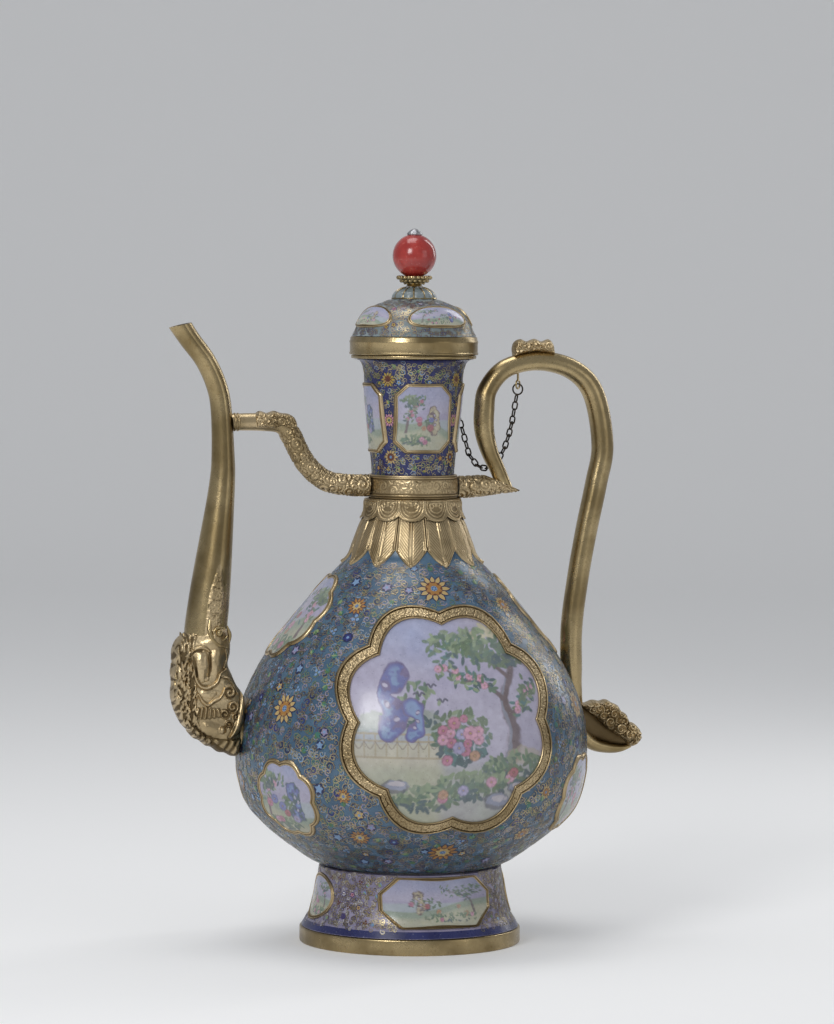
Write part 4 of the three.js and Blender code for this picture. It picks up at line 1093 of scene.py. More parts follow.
def dress_dragon():
    """The dragon's head that swallows the foot of the spout."""
    bm = pillow(bmesh.new(), DRAGON, np.array([-113.2, 141.0]), 13.2, 10.5, dragon_relief, 330, 104)
    chased_piece("spout_dragon_relief", bm, "spout_dragon_head")
    bm = bmesh.new()
    rng = random.Random(3)
    for side in (-1, 1):
        ball(bm, -109.6, side * 12.2, 171.0, 2.3)
        ring = [(-109.0 + 3.9 * math.cos(t), side * 12.0, 170.6 + 3.5 * math.sin(t))
                for t in np.linspace(0.9, 6.0, 12)]
        tube(bm, ring, [0.4, 0.9, 1.0, 0.9, 0.5], 10, 36)
        horn = [(-110.6, side * 7.6, 190), (-112.4, side * 9.0, 184), (-114.4, side * 10.6, 178.4),
                (-115.2, side * 12.4, 172.4), (-113, side * 13.6, 167), (-109, side * 13.4, 164),
                (-105, side * 11.6, 163)]
        tube(bm, horn, [0.4, 0.9, 1.2, 1.3, 1.2, 0.9, 0.4], 10, 46)
        ear = [(-105.2, side * 10.4, 175), (-103.6, side * 9.8, 170), (-103.8, side * 10.2, 165.6)]
        tube(bm, ear, [0.4, 1.1, 0.4], 10, 18)
        for k in range(13):
            t = k / 12
            x, z = np.interp(t, [0, 0.2, 0.5, 0.8, 1], [-126.6, -131.6, -132, -129.6, -123]), 168.5 - 51 * t
            y, grow = side * rng.uniform(2, 7), rng.uniform(2.6, 3.6)
            lock = [(x + 1.6, y, z - grow * 0.6), (x - 0.5, y * 1.02, z + 0.3),
                    (x - 1.3, y * 0.96, z + grow * 0.7)]
            tube(bm, lock, [1.2, 1.1, 0.15], 8, 12)
    piece("spout_dragon_horns", close(bm), "vessel", ["gilt"])


def chasing(start, end, radius, seed):
    """Relief for a tube: chased clouds between two distances along it."""
    def relief(u, along):
        around = TURN * radius
        field = cloud_work((u * around) % around, along, 6.4, seed, around)
        inside = smooth(along, start, start + 4) * smooth(along, end, end - 1.5)
        # painted shade: the second value darkens the recesses between the chased clouds
        return 0.8 * field * inside, np.clip(1.15 - field * 1.5, 0, 1) * inside
    return relief


def clouds(pitch, seed, tall):
    """Relief for a cushion of clouds."""
    def relief(x, z, inward, way):
        field = cloud_work(x, z, pitch, seed)
        # painted shade: the second value darkens the recesses between the clouds
        return tall * field, np.clip(1.05 - 1.4 * field, 0, 1)
    return relief


def chased_piece(name, bm, node):
    """A chased gilt piece of the vessel that stands for one node."""
    return piece(name, close(bm), "vessel", ["chased"], [node], 75)


def dress_strut():
    """The chased strut with two beads at the spout, and the cloud on it."""
    radii = [4.6, 4.8, 5.1, 5.0, 5.0, 5.2, 5.4]
    bm = tube(bmesh.new(), flat_path(STRUT), radii, 110, 300, relief=chasing(30, 97, 5.1, 6), layer="depth")
    for x in (-99.6, -97.8):
        tube(bm, [(x - 0.6, 0, 284.5), (x, 0, 284.5), (x + 0.6, 0, 284.5)], [4.7, 5.1, 4.7], 30, 8)
    chased_piece("spout_strut_relief", bm, "spout_strut")
    outline = [(-89.2, 284), (-88.8, 288), (-86, 290.5), (-82, 289.5), (-78, 290.6), (-74, 289.5),
               (-70, 289), (-66.8, 287), (-65.2, 283), (-66.8, 279.6), (-70, 280), (-74, 281.7),
               (-78, 280.8), (-83, 281.3), (-87.5, 281.4)]
    bm = pillow(bmesh.new(), outline, np.array([-77.2, 285.4]), 5.3, 1.8, clouds(4.8, 12, 0.9), 220, 34)
    chased_piece("strut_cloud_work", bm, "strut_cloud")


def dress_handle():
    """The handle's creased pipe, the chased arm that it is mitred to, and the cloud on its loop."""
    radii = [3.9, 4.4, 5.6, 5.3, 5.2, 5.6, 6, 6.1, 6.1, 6.1, 6, 6, 6, 5.5, 0.8]

    def crease(u, along):
        off = np.minimum(np.abs(u - 0.81), np.abs(u - 0.19))
        return 0.6 * np.clip(1 - off / 0.15, 0, 1), 0 * u

    bm = tube(bmesh.new(), flat_path(HANDLE), radii, 72, 240, relief=crease)
    # The mitre: only the pipe's lower end is cut, since the plane crosses the rest of the handle too
    lean = Vector((0.4225, 0, 1)).normalized()
    seam = Vector((60.1, 0, 247.1))
    lowest, furthest = 262, 78
    spots = {f: f.calc_center_median() for f in bm.faces}
    near = [f for f, spot in spots.items() if spot.z < lowest and spot.x < furthest]
    geom = list({v for f in near for v in f.verts} | {e for f in near for e in f.edges}) + near
    bmesh.ops.bisect_plane(bm, geom=geom, plane_co=seam, plane_no=lean, clear_inner=True)
    piece("handle_pipe", close(bm), "vessel", ["gilt"], ["handle_tube"])

    radii = [5.4, 5.4, 5.2, 4.6, 3.4, 1.6]
    bm = tube(bmesh.new(), flat_path(ARM), radii, 110, 110, relief=chasing(-6, 60, 5, 9), layer="depth")
    bmesh.ops.bisect_plane(bm, geom=[*bm.verts, *bm.edges, *bm.faces], plane_co=seam, plane_no=lean,
                           clear_outer=True)
    chased_piece("handle_arm_relief", bm, "handle_arm")

    outline = [(56, 320), (55.6, 325), (56.8, 328.4), (60, 330), (63.6, 328.8), (68, 330.2), (72, 328.8),
               (76, 330), (78.6, 327.4), (79.4, 324), (79.2, 321.4), (74.6, 322.4), (68, 323), (61, 321.8)]
    bm = pillow(bmesh.new(), outline, np.array([67.6, 325.4]), 4.4, 2.2, clouds(5.2, 21, 1.1), 240, 40)
    chased_piece("handle_cloud_work", bm, "handle_cloud")


def dress_terminal():
    """The cloud that holds the handle's foot: a tongue below, a dark hollow and a clump of curls above."""
    def shadowed(u, along):
        return 0 * u, 0.95 + 0 * u

    # painted shade: the core is darkened all over, a dark piece that stands for the shade between the tongue
    # and the clump
    core = flat_path([(84, 122), (94, 121.4), (103, 116), (111, 112), (118, 109.4), (123.5, 108)])
    bm = tube(bmesh.new(), core, [8.2, 8, 7, 5.4, 4.4, 2.4], 36, 40, relief=shadowed, layer="depth")
    piece("handle_terminal_core", close(bm), "vessel", ["chased"])
    tongue = flat_path([(86, 126), (92, 119), (97.6, 111.4), (104, 106.4), (112, 104.2), (119.4, 103.8),
                        (125.4, 105)])
    bm = tube(bmesh.new(), tongue, [3.4, 4.6, 4.6, 4, 3.4, 2.6, 1.2], 28, 70, 1.5)
    piece("handle_terminal_tongue", close(bm), "vessel", ["gilt"])
    outline = [(94.6, 129.4), (99, 129.4), (103, 130.8), (107, 130.2), (110.6, 131), (114, 129.2),
               (117.4, 127.6), (119.4, 124.6), (122.4, 122.6), (123.6, 119), (127, 117.4), (129.6, 114.8),
               (130.8, 111.6), (130.4, 107.8), (127.6, 105.2), (124.4, 104.6), (120.9, 107.6), (116, 111),
               (110.6, 114.6), (104.1, 120.6), (96.7, 125.9)]

    def lumps(x, z, inward, way):
        field = cloud_work(x, z, 6.0, 33)
        knob = 2.6 * ridge(np.hypot(x - 127.2, z - 111), 4.2)
        knob = knob + 1.6 * ridge(np.hypot(x - 122.6, z - 119.6), 2.6)
        # painted shade: the hollows between the curls are darkened, less so on the two knobs
        depth = np.clip(1.1 - 1.5 * field, 0, 1) * (1 - 0.6 * (knob > 0.4))
        return 2.0 * field + 1.2 * grain(x, z, 5, 6) + knob, depth

    bm = pillow(bmesh.new(), outline, np.array([113.2, 120.4]), 5.4, 3.4, lumps, 280, 60)
    chased_piece("handle_terminal_work", bm, "handle_lower_mount")


def rim_profile(kind, rim):
    """The section of a panel's gilt rim, as the way in from the edge and the height over the wall."""
    if kind == "medallion":
        return [(0, 0.2), (0.05, 1.7), (0.5, 2.3), (1.0, 1.7), (1.15, 1.2), (5.85, 1.2), (6.0, 1.7),
                (6.5, 2.3), (6.95, 1.7), (7, 0.4)]
    if kind in ("foot_wide_panel", "lid_panel", "foot_round_panel"):
        return [(0, 0.2), (0.05, 1.0), (0.35, 1.45), (0.65, 1.0), (0.75, 0.7), (rim - 0.75, 0.7),
                (rim - 0.65, 1.0), (rim - 0.35, 1.45), (rim - 0.05, 1.0), (rim, 0.8)]
    return [(0, 0.2), (0.1, 1.1), (0.6, 1.8), (1.1, 1.6), (1.5, 1.3), (rim - 0.9, 1.5), (rim - 0.4, 1.8),
            (rim - 0.05, 1.3), (rim, 0.9)]


def mixed(colour, other, share):
    share = np.clip(share, 0, 1)[:, None]
    return colour * (1 - share) + np.array(other) * share


class Picture:
    """Enamel painting by formula: colours at places measured in shares of a panel's shorter half side."""

    def __init__(self, x, y, ground, seed):
        self.x, self.y, self.seed = x, y, seed
        self.rng = random.Random(seed)
        self.colour = np.outer(np.ones_like(x), PALETTE[ground])

    def cloud(self, size, seed=0):
        return grain(self.x, self.y, size, self.seed + seed)

    def wash(self, colour, share):
        self.colour = mixed(self.colour, PALETTE[colour], share)

    def blot(self, x, y, wide, tall, colour, strength=1.0, ragged=0.35, lean=0.0):
        """An uneven patch with a soft, ragged edge."""
        u, v = swung(self.x - x, self.y - y, lean)
        rho = np.hypot(u / wide, v / tall) + ragged * (self.cloud(0.3 * min(wide, tall) + 0.03, 5) - 0.5) * 2
        self.wash(colour, strength * smooth(rho, 1.05, 0.85))

    def stroke(self, points, width, colour, strength=1.0, taper=True, ragged=0.0):
        gap, share = away_from(self.x, self.y, points)
        half = width / 2 * (1 - 0.7 * share if taper else 1) * (1 + ragged * (self.cloud(0.08, 3) - 0.5) * 2)
        self.wash(colour, strength * smooth(gap, half * 1.3, half * 0.6))

    def dab(self, x, y, length, width, turn, colour):
        near = np.flatnonzero((np.abs(self.x - x) < length) & (np.abs(self.y - y) < length))
        u, v = swung(self.x[near] - x, self.y[near] - y, turn)
        rho = np.hypot(u / length, v / width)
        self.colour[near] = mixed(self.colour[near], colour, smooth(rho, 1.05, 0.7))

    def foliage(self, x, y, wide, tall, count, size, colours, flowers=()):
        """A mass of leaf strokes, lighter towards its top, with a few blossoms on it."""
        rng = self.rng
        for _ in range(count):
            reach, turn = math.sqrt(rng.random()), rng.uniform(0, TURN)
            px, py = x + wide * reach * math.cos(turn), y + tall * reach * math.sin(turn)
            tone = PALETTE[colours[0]]
            if py > y - tall:
                level = (py - y) / tall * 0.9 * len(colours) / 2 + len(colours) / 2 + rng.uniform(-1, 1)
                tone = PALETTE[colours[min(int(level), len(colours) - 1)]]
            shade = rng.uniform(0.75, 1.15)
            length, turn = size * rng.uniform(0.7, 1.2), rng.uniform(0, 3.2)
            self.dab(px, py, length, size * 0.42, turn, tuple(c * shade for c in tone))
        for name in flowers:
            reach, turn = math.sqrt(rng.random()) * 0.85, rng.uniform(0, TURN)
            self.bloom(x + wide * reach * math.cos(turn), y + tall * reach * math.sin(turn), size * 1.1, name)

    def bloom(self, x, y, size, name):
        """A full blossom: a dark rim, ragged pale petals and a warm heart."""
        colour = PALETTE[name]
        self.dab(x, y, size * 1.08, size, 0.4, tuple(c * 0.72 for c in colour))
        for k in range(7):
            a = TURN * k / 7 + x * 9
            tone = tuple(min(c * (1.15 if k % 2 else 0.95) + 0.06, 1) for c in colour)
            spot = (x + 0.52 * size * math.cos(a), y + 0.48 * size * math.sin(a))
            self.dab(*spot, size * 0.42, size * 0.34, a, tone)
        self.dab(x, y, size * 0.36, size * 0.32, 0, tuple(c * 0.8 for c in colour))
        self.dab(x, y, size * 0.16, size * 0.14, 0, PALETTE["yellow"])

    def rock(self, points, width, tones=("mauve", "rock", "sky")):
        """A pierced garden rock: a ragged column in three tones with holes through it."""
        rng = self.rng
        gap, share = away_from(self.x, self.y, points)
        half = width * (0.72 + 0.5 * np.sin(9 * share + points[0][0]) * 0.5)
        half = half * (0.65 + 0.9 * self.cloud(0.17, 9))
        inside = smooth(gap, half * 1.06, half * 0.9)
        self.wash(tones[0], inside)
        tone = self.cloud(0.1, 11)
        self.wash(tones[1], inside * smooth(gap, half * 0.95, half * 0.72) * smooth(tone, 0.3, 0.45))
        self.wash(tones[2], inside * smooth(gap, half * 0.8, half * 0.4) * smooth(tone, 0.5, 0.62) * 0.9)
        line = curve(points, 9)
        for px, py in line[2:-1:2]:
            spot = (px + rng.uniform(-0.2, 0.2) * width, py + rng.uniform(-0.2, 0.2) * width)
            self.dab(*spot, width * rng.uniform(0.3, 0.42), width * 0.24, rng.uniform(0, 3),
                     PALETTE[tones[0]])
            self.dab(*spot, width * rng.uniform(0.2, 0.28), width * 0.15, rng.uniform(0, 3), PALETTE["mist"])

    def bough(self, points, width, leaves, size, flowers):
        """A bough with leaf strokes or blossoms along its outer half."""
        self.stroke(points, width, "bark", 0.95, ragged=0.5)
        for px, py in curve(points, 12)[4:]:
            for _ in range(leaves):
                spot = (px + self.rng.uniform(-1, 1) * 2.2 * size, py + self.rng.uniform(-1, 1) * 1.8 * size)
                tone = PALETTE[self.rng.choice(("leaf", "pale_leaf", "moss", "pine", "teal_leaf"))]
                self.dab(*spot, size * self.rng.uniform(0.6, 1), size * 0.36, self.rng.uniform(0, 3.2), tone)
            if flowers and self.rng.random() < 0.7:
                spot = (px + self.rng.uniform(-1, 1) * size, py + self.rng.uniform(-1, 1) * size)
                self.bloom(*spot, size * 0.8, flowers)

    def finished(self):
        self.wash("mist", 0.16 + 0.16 * self.cloud(0.12, 17))
        shade = 0.88 + 0.24 * self.cloud(0.05, 21)
        return self.colour * shade[:, None]


def terrace_garden(x, y, seed):
    """The medallion: a terrace with a blue pierced rock on the left and an old tree on the right."""
    p = Picture(x, y, "mist", seed)
    p.wash("ivory", smooth(y, -0.2, -0.7) * 0.8)
    p.wash("blue_wash", smooth(y + 0.25 * x, 0.25, 0.8) * smooth(x, 0.35, -0.25)
           * (0.4 + 0.5 * p.cloud(0.3, 1)))
    p.wash("lilac", smooth(np.abs(y - 0.42 - 0.1 * np.sin(4 * x)), 0.22, 0.0) * 0.35 * p.cloud(0.35, 2))
    p.blot(-0.5, 0.0, 0.55, 0.13, "pale_leaf", 0.6, 0.5)
    p.wash("water", smooth(y, 0.0, -0.12) * smooth(y, -0.5, -0.2) * smooth(x, 0.4, 0.1) * 0.6)
    p.wash("cream", smooth(y, -0.16, -0.22) * smooth(x, -0.05, -0.2) * 0.75)
    p.wash("pale_leaf", smooth(y, -0.34, -0.5) * (0.25 + 0.35 * p.cloud(0.4, 4)))
    for level in (-0.1, -0.17, -0.33):
        p.stroke([(-1, level), (-0.1, level - 0.01)], 0.022, "sand", 0.9, False)
    for k in range(9):
        post, sag, end = -0.96 + 0.1 * k, -0.91 + 0.1 * k, -0.86 + 0.1 * k
        p.stroke([(post, -0.1), (post, -0.33)], 0.016, "sand", 0.8, False)
        p.stroke([(post, -0.18), (sag, -0.25), (end, -0.18)], 0.011, "bark", 0.5, False)
    p.foliage(-0.42, 0.16, 0.3, 0.26, 70, 0.05, ("pine", "moss", "leaf", "pale_leaf"))
    p.rock([(-0.66, -0.1), (-0.56, 0.08), (-0.66, 0.28), (-0.5, 0.46)], 0.13)
    p.rock([(-0.42, -0.12), (-0.34, 0.02), (-0.4, 0.16)], 0.09)
    p.stroke([(0.56, -0.5), (0.64, -0.1), (0.55, 0.2), (0.66, 0.5), (0.6, 0.85)], 0.15, "bark", 1.0,
             ragged=0.6)
    p.stroke([(0.53, -0.45), (0.6, -0.1), (0.52, 0.18), (0.61, 0.45)], 0.05, "stone", 0.7, ragged=0.8)
    p.bough([(0.56, 0.2), (0.36, 0.36), (0.16, 0.4), (-0.06, 0.52)], 0.05, 7, 0.05, "pink")
    p.bough([(0.64, 0.4), (0.4, 0.6), (0.2, 0.7), (-0.1, 0.72)], 0.045, 9, 0.055, None)
    p.bough([(0.6, 0.05), (0.78, 0.2), (0.86, 0.34)], 0.04, 7, 0.05, "pink")
    p.foliage(0.56, 0.72, 0.4, 0.2, 190, 0.055, ("pine", "moss", "leaf", "pale_leaf", "cream"))
    p.foliage(0.12, 0.78, 0.26, 0.1, 70, 0.045, ("moss", "leaf", "pale_leaf", "pale_leaf"))
    p.foliage(0.08, -0.14, 0.3, 0.27, 150, 0.055, ("pine", "teal_leaf", "leaf", "moss", "pale_leaf"),
              ("rose", "pink", "rose", "lilac", "pink", "rose"))
    for x0, y0, size, name in ((0.0, 0.0, 0.07, "rose"), (0.16, -0.1, 0.08, "pink"),
                               (0.04, -0.24, 0.07, "lilac"), (0.2, -0.32, 0.06, "ochre"),
                               (-0.12, -0.16, 0.06, "pink"), (-0.08, -0.36, 0.06, "rose"),
                               (-0.04, -0.1, 0.05, "pink"), (0.1, 0.04, 0.045, "rose"),
                               (0.13, -0.2, 0.05, "rose")):
        p.bloom(x0, y0, size, name)
    p.blot(0.72, -0.34, 0.2, 0.1, "sand", 0.6, 0.4)
    p.foliage(0.62, -0.46, 0.34, 0.16, 130, 0.05, ("pine", "moss", "leaf", "pale_leaf"),
              ("ochre", "pink", "red"))
    p.foliage(0.2, -0.62, 0.4, 0.14, 130, 0.055, ("pine", "moss", "leaf", "pale_leaf", "pale_leaf"),
              ("pink", "lilac"))
    p.foliage(-0.3, -0.74, 0.36, 0.12, 110, 0.05, ("pine", "moss", "leaf", "pale_leaf"), ("rose", "ochre"))
    for cx, cy, wide in ((-0.58, -0.62, 0.13), (0.46, -0.78, 0.16), (0.66, -0.66, 0.12)):
        p.blot(cx, cy, wide, wide * 0.55, "ink", 0.7, 0.3)
        p.blot(cx + 0.01, cy + 0.012, wide * 0.86, wide * 0.42, "stone", 1.0, 0.3)
        p.blot(cx + 0.02, cy + 0.03, wide * 0.6, wide * 0.22, "ivory", 0.9, 0.4)
    for bx, by in ((-0.2, 0.34), (-0.32, 0.26), (-0.1, 0.2)):
        bird = [(bx - 0.05, by + 0.02), (bx - 0.02, by + 0.028), (bx, by), (bx + 0.025, by + 0.03),
                (bx + 0.05, by + 0.015)]
        p.stroke(bird, 0.02, "ink", 0.9, False)
    return p.finished()


def small_garden(x, y, seed, wide, tall):
    """A small panel: sky, water and a bank with a rock, a bough and a few blossoms."""
    p = Picture(x, y, "mist", seed)
    rng = p.rng
    side, level = rng.choice((-1, 1)), rng.uniform(-0.25, -0.1)
    p.wash("blue_wash", smooth(y, 0.1 * tall, tall) * (0.25 + 0.5 * p.cloud(0.6, 1)))
    hills = level + 0.35 + 0.2 * np.sin(2.6 * x / wide + seed) + 0.1 * np.sin(6 * x / wide + 2 * seed)
    p.wash("lilac", smooth(y, hills + 0.03, hills - 0.06) * 0.4)
    p.wash("water", smooth(y, level + 0.2, level + 0.1) * 0.7)
    bank = level + 0.14 * np.sin(3 * x / wide + seed) + 0.2 * side * x / wide
    p.wash("pale_leaf", smooth(y, bank + 0.02, bank - 0.05) * 0.75)
    p.wash("cream", smooth(y, bank - 0.2, bank - 0.45) * (0.4 + 0.5 * p.cloud(0.5, 2)))
    leaf_tones = ("pine", "moss", "leaf", "pale_leaf")
    tones = rng.choice((("violet", "rock", "sky"), ("bark", "sand", "cream"), ("pine", "rock", "sky")))
    foot = -side * 0.38 * wide
    p.foliage(foot * 0.7, level + 0.12, 0.3 * wide, 0.3, 46, 0.1, leaf_tones)
    p.rock([(foot, level - 0.25), (foot + 0.1, level + 0.1), (foot - 0.05, level + 0.5)], 0.24, tones)
    root = side * 0.7 * wide
    path = [(root, level - 0.3), (root * 0.84, level + 0.3), (root * 0.45, 0.4 * tall),
            (root * 0.1, 0.62 * tall)]
    p.bough(path, 0.11, 5, 0.1, rng.choice(("pink", "rose", None)))
    p.foliage(root * 0.8, 0.55 * tall, 0.34 * wide, 0.24, 50, 0.1, leaf_tones)
    for _ in range(5):
        p.bloom(rng.uniform(-0.6, 0.6) * wide, rng.uniform(-0.55, 0.05), rng.uniform(0.09, 0.16),
                rng.choice(("pink", "rose", "red", "ochre", "lilac", "rock")))
    p.foliage(side * 0.3 * wide, -0.68 * tall, 0.62 * wide, 0.2, 70, 0.1, leaf_tones, ("pink", "rose"))
    return p.finished()


# How finely the painted fields are divided, round and inwards
FIELD_MESH = {"medallion": (520, 110), "shoulder_panel": (250, 54), "body_panel": (210, 46)}


def dress_panel(name, kind, azimuth, nodes, seed, body="vessel"):
    """A panel's gilt rim, which is chased on a medallion, and its painted field."""
    panel = Panel(kind, azimuth)
    large = kind == "medallion"
    profile = rim_profile(kind, panel.rim)
    inset = [p[0] for p in profile] + [panel.rim + 0.01]
    flat = 0.95 if large else 0.66
    low = 0.9 if large else 0.7
    lifts = [p[1] * low for p in profile] + [flat]
    length = math.pi * (panel.width + panel.height) / 2
    wide, tall = panel.width / 2 - panel.rim, panel.height / 2 - panel.rim
    unit = min(wide, tall)
    columns, rows = FIELD_MESH.get(kind, (190, 34))

    gone = np.r_[0, np.cumsum(np.hypot(np.diff(inset), np.diff(lifts)))]
    way = gone / gone[-1] if large else np.linspace(0, 1, len(inset))

    def rim(u, v):
        turn = TURN * u
        edge = panel.edge(turn)
        into, lift = np.interp(v, way, inset), np.interp(v, way, lifts)
        if large:
            field = cloud_work(u * length, into, 4.0, seed, length)
            inside = smooth(np.abs(into - 3.5), 2.4, 2.0)
            lift = lift + 0.6 * field * inside
            # painted shade: deep darkens the low ground of the chasing and the two grooves of the medallion's
            # rim
            deep = np.clip(1.2 - field * 1.5, 0, 1) * inside
            deep = deep + ridge(into - 1.3, 0.35) + ridge(into - 5.7, 0.35)
        else:
            # painted shade along the groove in the middle of a small rim
            deep = ridge(into - panel.rim / 2, panel.rim * 0.2)
        reach = edge - into
        return (*panel.place(reach * np.cos(turn), reach * np.sin(turn), lift), np.clip(deep, 0, 1))

    def field(u, v):
        turn = TURN * u
        reach = (panel.edge(turn) - panel.rim + 0.02) * (1 - v)
        a, b = reach * np.cos(turn), reach * np.sin(turn)
        if large:
            paint = terrace_garden(a / unit, b / unit, seed)
        else:
            paint = small_garden(a / unit, b / unit, seed, wide / unit, tall / unit)
        return (*panel.place(a, b, flat + 0 * a), *paint.T)

    bm = woven(bmesh.new(), 1000 if large else 170, 42 if large else len(profile) + 2, rim, layer="depth")
    piece(f"{name}_rim", bm, body, ["chased"], nodes[:1], 60)
    bm = woven(bmesh.new(), columns, rows, field, layer="tint")
    piece(f"{name}_painting", bm, body, ["painted"], nodes[1:])


def dress_panels():
    """Every medallion and painted panel, each with its own garden."""
    for i, side in enumerate(("front", "back")):
        dress_panel(f"medallion_{side}", "medallion", PANELS["medallion"][6][i],
                    [f"medallion_frame_{side}", f"medallion_plaque_{side}"], 40 + i)
    for kind in list(PANELS)[1:]:
        for i, azimuth in enumerate(PANELS[kind][6]):
            body = "lid" if kind == "lid_panel" else "vessel"
            dress_panel(f"{kind}_{i + 1}", kind, azimuth, [f"{kind}_{i + 1}"], 60 + 7 * i + len(kind), body)


def dress_lid():
    """The lid's rim, flange and enamelled dome, its scrolls and its petalled crown."""
    rim = [(32.8, 321.3), (34.9, 321.3), (35.2, 321.6), (35.2, 322.3), (34.9, 322.6), (34.9, 327.4),
           (35.1, 327.8), (35.1, 328.6), (34.7, 329.2), (34.6, 330.4), (34.2, 331), (32.8, 331)]
    piece("lid_rim_gilt", turned(rim), "lid", ["gilt"], ["lid_rim"])
    flange = [(23.2, 311), (24.6, 311), (24.6, 321.3), (32.5, 321.3), (32.5, 322.5), (23.2, 322.5)]
    piece("lid_flange_gilt", turned(flange, 120), "lid", ["gilt"], ["lid_flange"])
    wall = WALLS["dome"]
    outer = list(zip(wall.r, wall.z))[::8]
    under = [(r - 1.2, z - 0.8) for r, z in outer[::-3]]
    dome = [(1.7, 351.2), *outer[::-1], (32.6, 331.3), *under[::-1], (1.7, 349.6)]
    piece("lid_dome_enamel", turned(dome, 144), "lid", ["celadon"], ["lid_dome"])
    sheet = Sheet()
    colours = palette("violet", "cobalt", "leaf", "pale_leaf", "lilac", "pink", "white", "sky", "yellow",
                      "rust")
    keep_out = clear_of(panels_on("dome"), [], 0.3)
    scatter(sheet, wall, 335, 350, 5.6, sprigs(colours, 1.7), keep_out, 51)
    dark = palette("mauve", "violet", "cobalt", "violet")
    scatter(sheet, wall, 331.6, 350.8, 2.1, curls(dark, 2.4, 0.28), keep_out, 52)
    piece("lid_scrolls", sheet.lay(0.24, on_wall(wall)), "lid", ["cells", "wire"])

    def crown(u, v):
        a = TURN * u
        z = 351.3 + 6.7 * v
        r = np.interp(v, [0, 0.1, 0.35, 0.6, 0.85, 1], [12.3, 12.5, 12.2, 10.9, 8.4, 5.6])
        lobes = np.abs(np.cos(a * 6))
        r = r + 0.8 * np.sqrt(lobes) * smooth(v, 1, 0.5) - 0.8
        return round_axis(a, r, z)

    bm = woven(bmesh.new(), 144, 20, crown)
    piece("lid_crown_petals", close(bm), "lid", ["celadon"], ["lid_crown"], 60)
    bm = bmesh.new()
    for i in range(12):
        u, v = np.full(9, (i + 0.5) / 12), np.linspace(0.06, 0.98, 9)
        turn = TURN * u[0] + 1.57
        plane = (-math.sin(turn), math.cos(turn), 0)
        tube(bm, list(zip(*crown(u, v))), [0.5, 0.5, 0.35], 8, 16, plane=plane)
    foot = [(12.1 * math.sin(t), -12.1 * math.cos(t), 351.9) for t in np.linspace(0, TURN, 49)]
    tube(bm, foot, [0.45, 0.45], 8, 96, plane=(0, 0, 1))
    piece("lid_crown_ribs", close(bm), "lid", ["gilt"])


def dress_finial():
    """The pearled seat, the coral bead, the silver cap, the pin and its nut."""
    seat = [(1.7, 358.2), (5, 358.3), (3.9, 359), (4.4, 359.8), (6.4, 360.6), (8, 361.8), (8.9, 363),
            (8.6, 363.9), (8, 364.1), (1.7, 364.1)]
    bm = turned(seat, 72)
    for count, reach, height, size in ((22, 8.7, 363.2, 1.15), (17, 7.1, 361.5, 1.1), (12, 5.2, 360.2, 0.85)):
        for i in range(count):
            a = TURN * (i + 0.5 * (count % 2)) / count
            ball(bm, reach * math.sin(a), -reach * math.cos(a), height, size)
    piece("finial_seat_pearls", bm, "lid", ["gilt"], ["finial_seat"])
    bm = bmesh.new()
    bead_middle = Matrix.Translation((0, 0, 375))
    radius = bpy.context.scene.ewer.bead_radius / MM
    bmesh.ops.create_uvsphere(bm, u_segments=72, v_segments=44, radius=radius, matrix=bead_middle)
    piece("coral_bead_polished", bm, "lid", ["coral"], ["coral_bead"])

    def cap(u, v):
        a = TURN * u
        r = np.interp(v, [0, 0.1, 0.45, 0.6, 0.85, 1], [3.7, 4, 3.5, 2.6, 1.4, 0.01])
        r = r * (1 + 0.1 * np.abs(np.cos(a * 4)) * smooth(v, 0.7, 0.2))
        z = np.interp(v, [0, 0.1, 0.45, 0.6, 0.85, 1], [386.3, 386.9, 387.9, 388.8, 389.6, 390])
        return round_axis(a, r, z)

    bm = close(woven(bmesh.new(), 64, 18, cap))
    piece("finial_cap_petals", bm, "lid", ["silver"], ["finial_cap"], 60)
    pin = turned([(0, 345), (1.3, 345), (1.3, 387), (0, 387)], 24)
    piece("finial_pin_rod", pin, "lid", ["gilt"], ["finial_pin"])
    bm = bmesh.new()
    nut_middle = Matrix.Translation((0, 0, 347.6))
    bmesh.ops.create_cone(bm, cap_ends=True, segments=6, radius1=4, radius2=4, depth=3.6, matrix=nut_middle)
    bmesh.ops.bevel(bm, geom=bm.edges[:], offset=0.35, affect="EDGES", segments=2, profile=0.5, material=-1)
    piece("finial_nut_hexagon", bm, "lid", ["gilt"], ["finial_nut"])


# The chain: how many links each stretch has, and how its links lie
CHAIN_RUNS = [8, 7, 2, 1, 1, 1, 1, 1, 2, 2, 2, 4]
LINK_LENGTH = 5.2
JOINED_STEP = 4
FREE_STEP = 3.2
FIRST_DROP = 1
RING_RADIUS = 3.4
RING_PLAY = 0.3
# The eyes: outer width, wire, where the lid's one lies (azimuth, radius, height) and the handle's (x, y, z)
EYE_WIDTH, EYE_WIRE = 5.6, 1
LID_EYE = (135, 38.7, 324.4)
HANDLE_EYE = (59, 0, 305.1)
ACROSS_CHAIN = (0.654221, 0.756303, 0)


